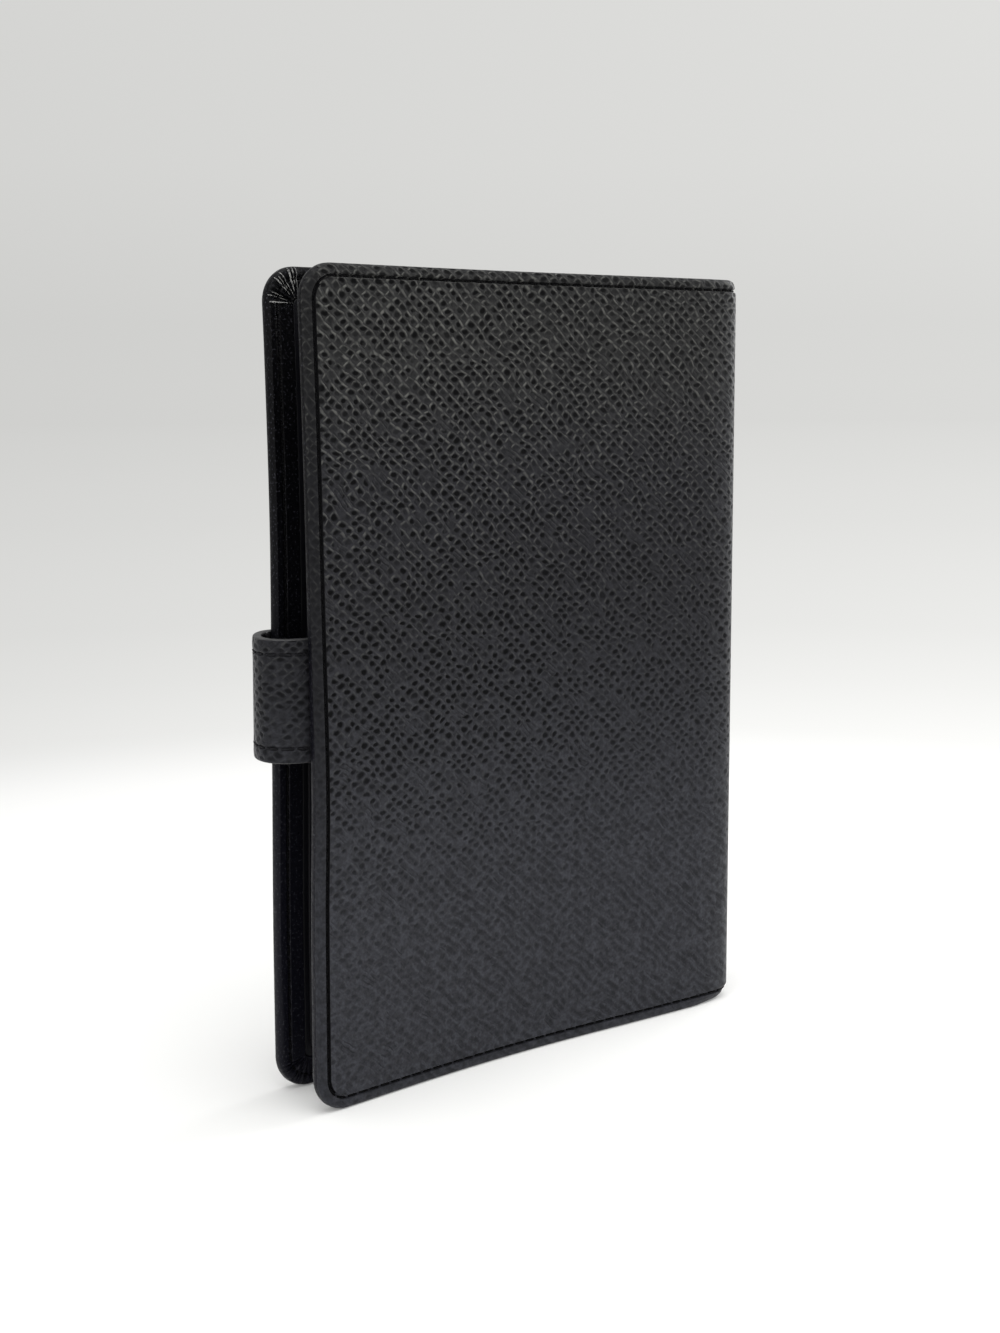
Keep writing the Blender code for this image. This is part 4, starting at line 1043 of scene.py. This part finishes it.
def press_stud():
    """Press stud through the front cover, its socket under the flap and the domed cap outside."""
    place = STRAP_FLAP_LENGTH - STRAP_WIDTH / 2
    point, out = leather_path(from_fore_edge(FRONT, STRAP_TURN_INSET - FRONT_SET_BACK + place))
    spot = ORIGIN + point + Vector((0, warp(point, MIDDLE_Z)))
    turn = Vector((out.x, out.y, 0)).to_track_quat('Z', 'Y').to_matrix().to_4x4()
    neck = GAP + STUD_FLANGE
    stud = ([(GAP, STUD_FLANGE_RADIUS - 0.1 * MM)]
            + arc(GAP + STUD_FLANGE / 2, STUD_FLANGE_RADIUS - 0.2 * MM, 0.2 * MM, 150, 10, 6)
            + [(neck, STUD_STEM_RADIUS + 0.3 * MM), (neck + 0.25 * MM, STUD_STEM_RADIUS - 0.05 * MM),
               (neck + 0.55 * MM, STUD_STEM_RADIUS - 0.05 * MM)]
            + arc(neck + 1.0 * MM, STUD_HEAD_RADIUS - 0.4 * MM, 0.4 * MM, 135, 20, 7)
            + [(STUD_TOP - 0.03 * MM, 1.3 * MM), (STUD_TOP - 0.25 * MM, 1.0 * MM),
               (STUD_TOP - 0.3 * MM, 0.4 * MM)])
    post = [(-BOARD_TOP - COVER_BOARD, POST_HEAD_RADIUS - 0.1 * MM),
            (-BOARD_TOP - 0.1 * MM, POST_HEAD_RADIUS),
            (-BOARD_TOP, POST_HEAD_RADIUS - 0.1 * MM), (-BOARD_TOP, POST_RADIUS), (neck, POST_RADIUS)]
    high = SOCKET_TOP - GAP
    socket = ([(STUD_TOP + 0.1 * MM, 0.4 * MM), (STUD_TOP + 0.1 * MM, 2.2 * MM),
               (SOCKET_LOW + 0.5 * MM, 2.75 * MM), (SOCKET_LOW + 0.15 * MM, 2.8 * MM)]
              + arc(SOCKET_LOW + 0.25 * MM, SOCKET_RADIUS - 1.35 * MM, 0.25 * MM, 270, 90, 8)
              + [(SOCKET_LOW + 0.55 * MM, SOCKET_RADIUS - 1.0 * MM)]
              + arc(SOCKET_LOW + 0.75 * MM, SOCKET_RADIUS - 0.25 * MM, 0.25 * MM, 200, 40, 7)
              + [(high - 0.1 * MM, SOCKET_RADIUS - 0.2 * MM), (high, SOCKET_RADIUS - 0.4 * MM)])
    seat = SOCKET_TOP + STRAP_DEPTH + GAP
    rise = CAP_HEIGHT - CAP_EDGE
    inner = CAP_RADIUS - 0.75 * MM
    cap = ([(high, POST_RADIUS), (seat, POST_RADIUS), (seat, CAP_RADIUS - 0.25 * MM)]
           + arc(seat + CAP_EDGE / 2, CAP_RADIUS - CAP_EDGE / 2, CAP_EDGE / 2, 150, 0, 7)
           + [(seat + CAP_EDGE - 0.1 * MM, inner + 0.15 * MM)]
           + [(seat + CAP_EDGE + rise * math.sin(a), inner * math.cos(a)) for a in spread(0, 1.45, 10)])
    for name, profile, body in (("snap_stud", stud, "front_cover"), ("stud_post", post, "front_cover"),
                                ("snap_socket", socket, "strap_flap"), ("snap_cap", cap, "strap_flap")):
        piece = turned(name + "_shell", profile)
        piece.data.transform(Matrix.Translation((spot.x, spot.y, MIDDLE_Z)) @ turn)
        shade(piece)
        dress(piece, NICKEL, (name,), body)


def ring_halves():
    """Round wire rings that part in the middle, each half swaged into its leaf."""
    first = MIDDLE_Z - RING_PITCH * (RING_COUNT - 1) / 2
    radius = (RING_BORE + RING_WIRE) / 2
    sweep = math.pi - math.asin(RING_SEAT / radius)
    tip = TIP_LAP / 2 + 0.1 * MM
    for side, word in ((BACK, "left"), (FRONT, "right")):
        tip_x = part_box(word + "_ring_half_1")[0].x + RING_WIRE / 2
        centre = (tip_x + radius, MID_PLANE, first)
        bpy.ops.mesh.primitive_circle_add(vertices=24, radius=RING_WIRE / 2, fill_type='NGON',
                                          location=(tip_x, MID_PLANE + side * tip, first),
                                          rotation=(math.pi / 2, 0, 0))
        master = bpy.context.active_object
        bpy.ops.object.transform_apply(location=True, rotation=True, scale=True)
        bpy.ops.object.mode_set(mode='EDIT')
        bpy.ops.mesh.select_all(action='SELECT')
        bpy.ops.mesh.spin(steps=30, angle=sweep * side, center=centre, axis=(0, 0, 1))
        face_out()
        finish_piece(master)
        for i in range(RING_COUNT):
            piece = copied(master, "%s_ring_wire_%d" % (word, i + 1))
            piece.data.transform(Matrix.Translation((0, 0, RING_PITCH * i)))
            shade(piece)
            dress(piece, NICKEL, ("%s_ring_half_%d" % (word, i + 1),), word + "_rings")
        bpy.data.objects.remove(master)


def plain_nodes():
    """Finishes for the CAD nodes that stay, with their facets smoothed."""
    finishes = {"board": BOARD, "ring_steel": NICKEL, "snap_metal": NICKEL}
    for row in frame["record"]["subparts"]:
        solid = frame["nodes"][row["node"]]
        if row["material_slot"] not in finishes or solid.hide_render:
            continue
        solid.data.materials.clear()
        solid.data.materials.append(finishes[row["material_slot"]])
        for face in solid.data.polygons:
            face.use_smooth = True
        solid.modifiers.new("weld", 'WELD').merge_threshold = 0.001 * MM
        solid.modifiers.new("sharp_edges", 'EDGE_SPLIT').split_angle = SHARP_EDGE


outer_leather()
linings()
boards()
pockets()
pen_loop()
strap()
press_stud()
ring_halves()
plain_nodes()


# Floor, light and camera

# Backdrop brightness along the floor, by distance from the object, and up the air behind it, by the
# sine of the height angle: painted light, white round the object and falling off to pale grey where less light
# reaches the paper.
FLOOR_RADIUS = 6.0
FLOOR_PAINTED_LIGHT = ((0.0, "#ffffff"), (0.26, "#fefefd"), (0.34, "#f3f3f1"), (0.46, "#ebebe9"), (0.64, "#e4e4e2"),
                 (1.4, "#dddddb"), (2.7, "#d9d9d7"), (FLOOR_RADIUS, "#d5d5d3"))
AIR_PAINTED_LIGHT = ((0.0, "#d5d5d3"), (0.03, "#d4d4d2"), (0.11, "#d9d9d7"), (1.0, "#e4e4e2"))
SHADOW_WEIGHT = 0.85
SHADOW_SPREAD = (0.16, 0.34)
SIDE_FALL = 0.22
SIDE_WAY = (0.750, -0.661, 0.0)


def paper_shade(add, place, colours):
    """Painted light on the paper at a place from 0 to 1, from rows of (place, hex colour)."""
    shade_there = add('ValToRGB', place)
    stops = shade_there.node.color_ramp.elements
    while len(stops) < len(colours):
        stops.new(0.5)
    for stop, (position, code) in zip(stops, colours):
        stop.position = position
        stop.color = linear(code)
    return shade_there


def seen_directly(add):
    """One for rays that show the backdrop as it is: from the camera, a mirror or clear glass."""
    rays = add('LightPath').node.outputs
    either = add('Math.MAXIMUM', rays['Is Camera Ray'], rays['Is Glossy Ray'])
    return add('Math.MAXIMUM', either, rays['Is Transmission Ray'])


def side_light(add, ray):
    """Painted light: the paper is a little lighter on one side of the object than on the other."""
    return add('Math.MULTIPLY_ADD', add('VectorMath.DOT_PRODUCT', ray, SIDE_WAY), SIDE_FALL, 1.0)


def studio():
    """Seamless pale paper under and round the object."""
    bpy.ops.mesh.primitive_circle_add(vertices=96, radius=FLOOR_RADIUS, fill_type='NGON')
    floor = start_piece("studio_floor")
    bpy.ops.mesh.inset(thickness=FLOOR_RADIUS * 0.8)
    finish_piece(floor)
    made, add, shader = new_material("white_seamless_paper")
    feed(shader, **{'Base Color': "#f8f8f6", 'Roughness': 0.9, 'Specular IOR Level': 0.0})
    spot = add('TexCoord').node.outputs['Object']
    away = add('VectorMath.LENGTH', spot)
    root = add('Math.POWER', add('Math.DIVIDE', away, FLOOR_RADIUS), 0.5)
    colour = paper_shade(add, root, [((r / FLOOR_RADIUS) ** 0.5, code) for r, code in FLOOR_PAINTED_LIGHT])
    light = add('Emission', colour, side_light(add, add('VectorMath.NORMALIZE', spot)))
    weight = add(STEP, away, *SHADOW_SPREAD, 1 - SHADOW_WEIGHT, 1.0)
    mixed = add('MixShader', add(TIMES, weight, seen_directly(add)), shader.outputs[0], light)
    feed(made.node_tree.nodes["Material Output"], mixed)
    floor.data.materials.append(made)


def lamp(name, place, aim, size, power):
    data = bpy.data.lights.new(name, 'AREA')
    data.shape = 'SQUARE'
    data.size = size
    data.energy = power
    made = bpy.data.objects.new(name, data)
    made.location = place
    made.rotation_euler = (Vector(aim) - Vector(place)).to_track_quat('-Z', 'Y').to_euler()
    bpy.context.scene.collection.objects.link(made)


WORLD_LIGHT = 0.62


def lights():
    lamp("overhead_softbox", (-0.10, -0.20, 0.90), (0, 0, 0.05), 0.8, 5.2)
    lamp("left_softbox", (-0.85, -0.25, 0.45), (0, 0, 0.07), 0.5, 1.6)
    lamp("right_softbox", (0.85, 0.0, 0.40), (0, 0, 0.07), 0.5, 4.0)
    world = bpy.data.worlds.new("studio_air")
    world.use_nodes = True
    bpy.context.scene.world = world
    add = partial(node, world.node_tree)
    plain = world.node_tree.nodes["Background"]
    feed(plain, "#ffffff", WORLD_LIGHT)
    ray = add('TexCoord').node.outputs['Generated']
    height = add('SeparateXYZ', ray).node.outputs['Z']
    air = add('Background', paper_shade(add, height, AIR_PAINTED_LIGHT), side_light(add, ray))
    mixed = add('MixShader', add('LightPath').node.outputs['Is Camera Ray'], plain.outputs[0], air)
    feed(world.node_tree.nodes["World Output"], mixed)


# Camera fitted to the object's outline: focal length for a 36 mm long side, place, heading, tilt and roll
FOCAL_LENGTH = 52.01
CAMERA_PLACE = (ORIGIN.x - 280.13 * MM, ORIGIN.y - 258.04 * MM, 120.9 * MM)
CAMERA_HEADING = 41.41
CAMERA_TILT = 8.36
CAMERA_ROLL = -0.194


def camera():
    data = bpy.data.cameras.new("camera")
    data.lens = FOCAL_LENGTH
    data.sensor_width = 36
    made = bpy.data.objects.new("camera", data)
    bpy.context.scene.collection.objects.link(made)
    made.location = CAMERA_PLACE
    heading, tilt, roll = [Matrix.Rotation(math.radians(angle), 4, axis) for angle, axis in
                           ((-CAMERA_HEADING, 'Z'), (90 - CAMERA_TILT, 'X'), (CAMERA_ROLL, 'Z'))]
    made.rotation_euler = (heading @ tilt @ roll).to_euler()
    bpy.context.scene.camera = made


studio()
lights()
camera()
bpy.context.scene.view_settings.view_transform = 'Standard'
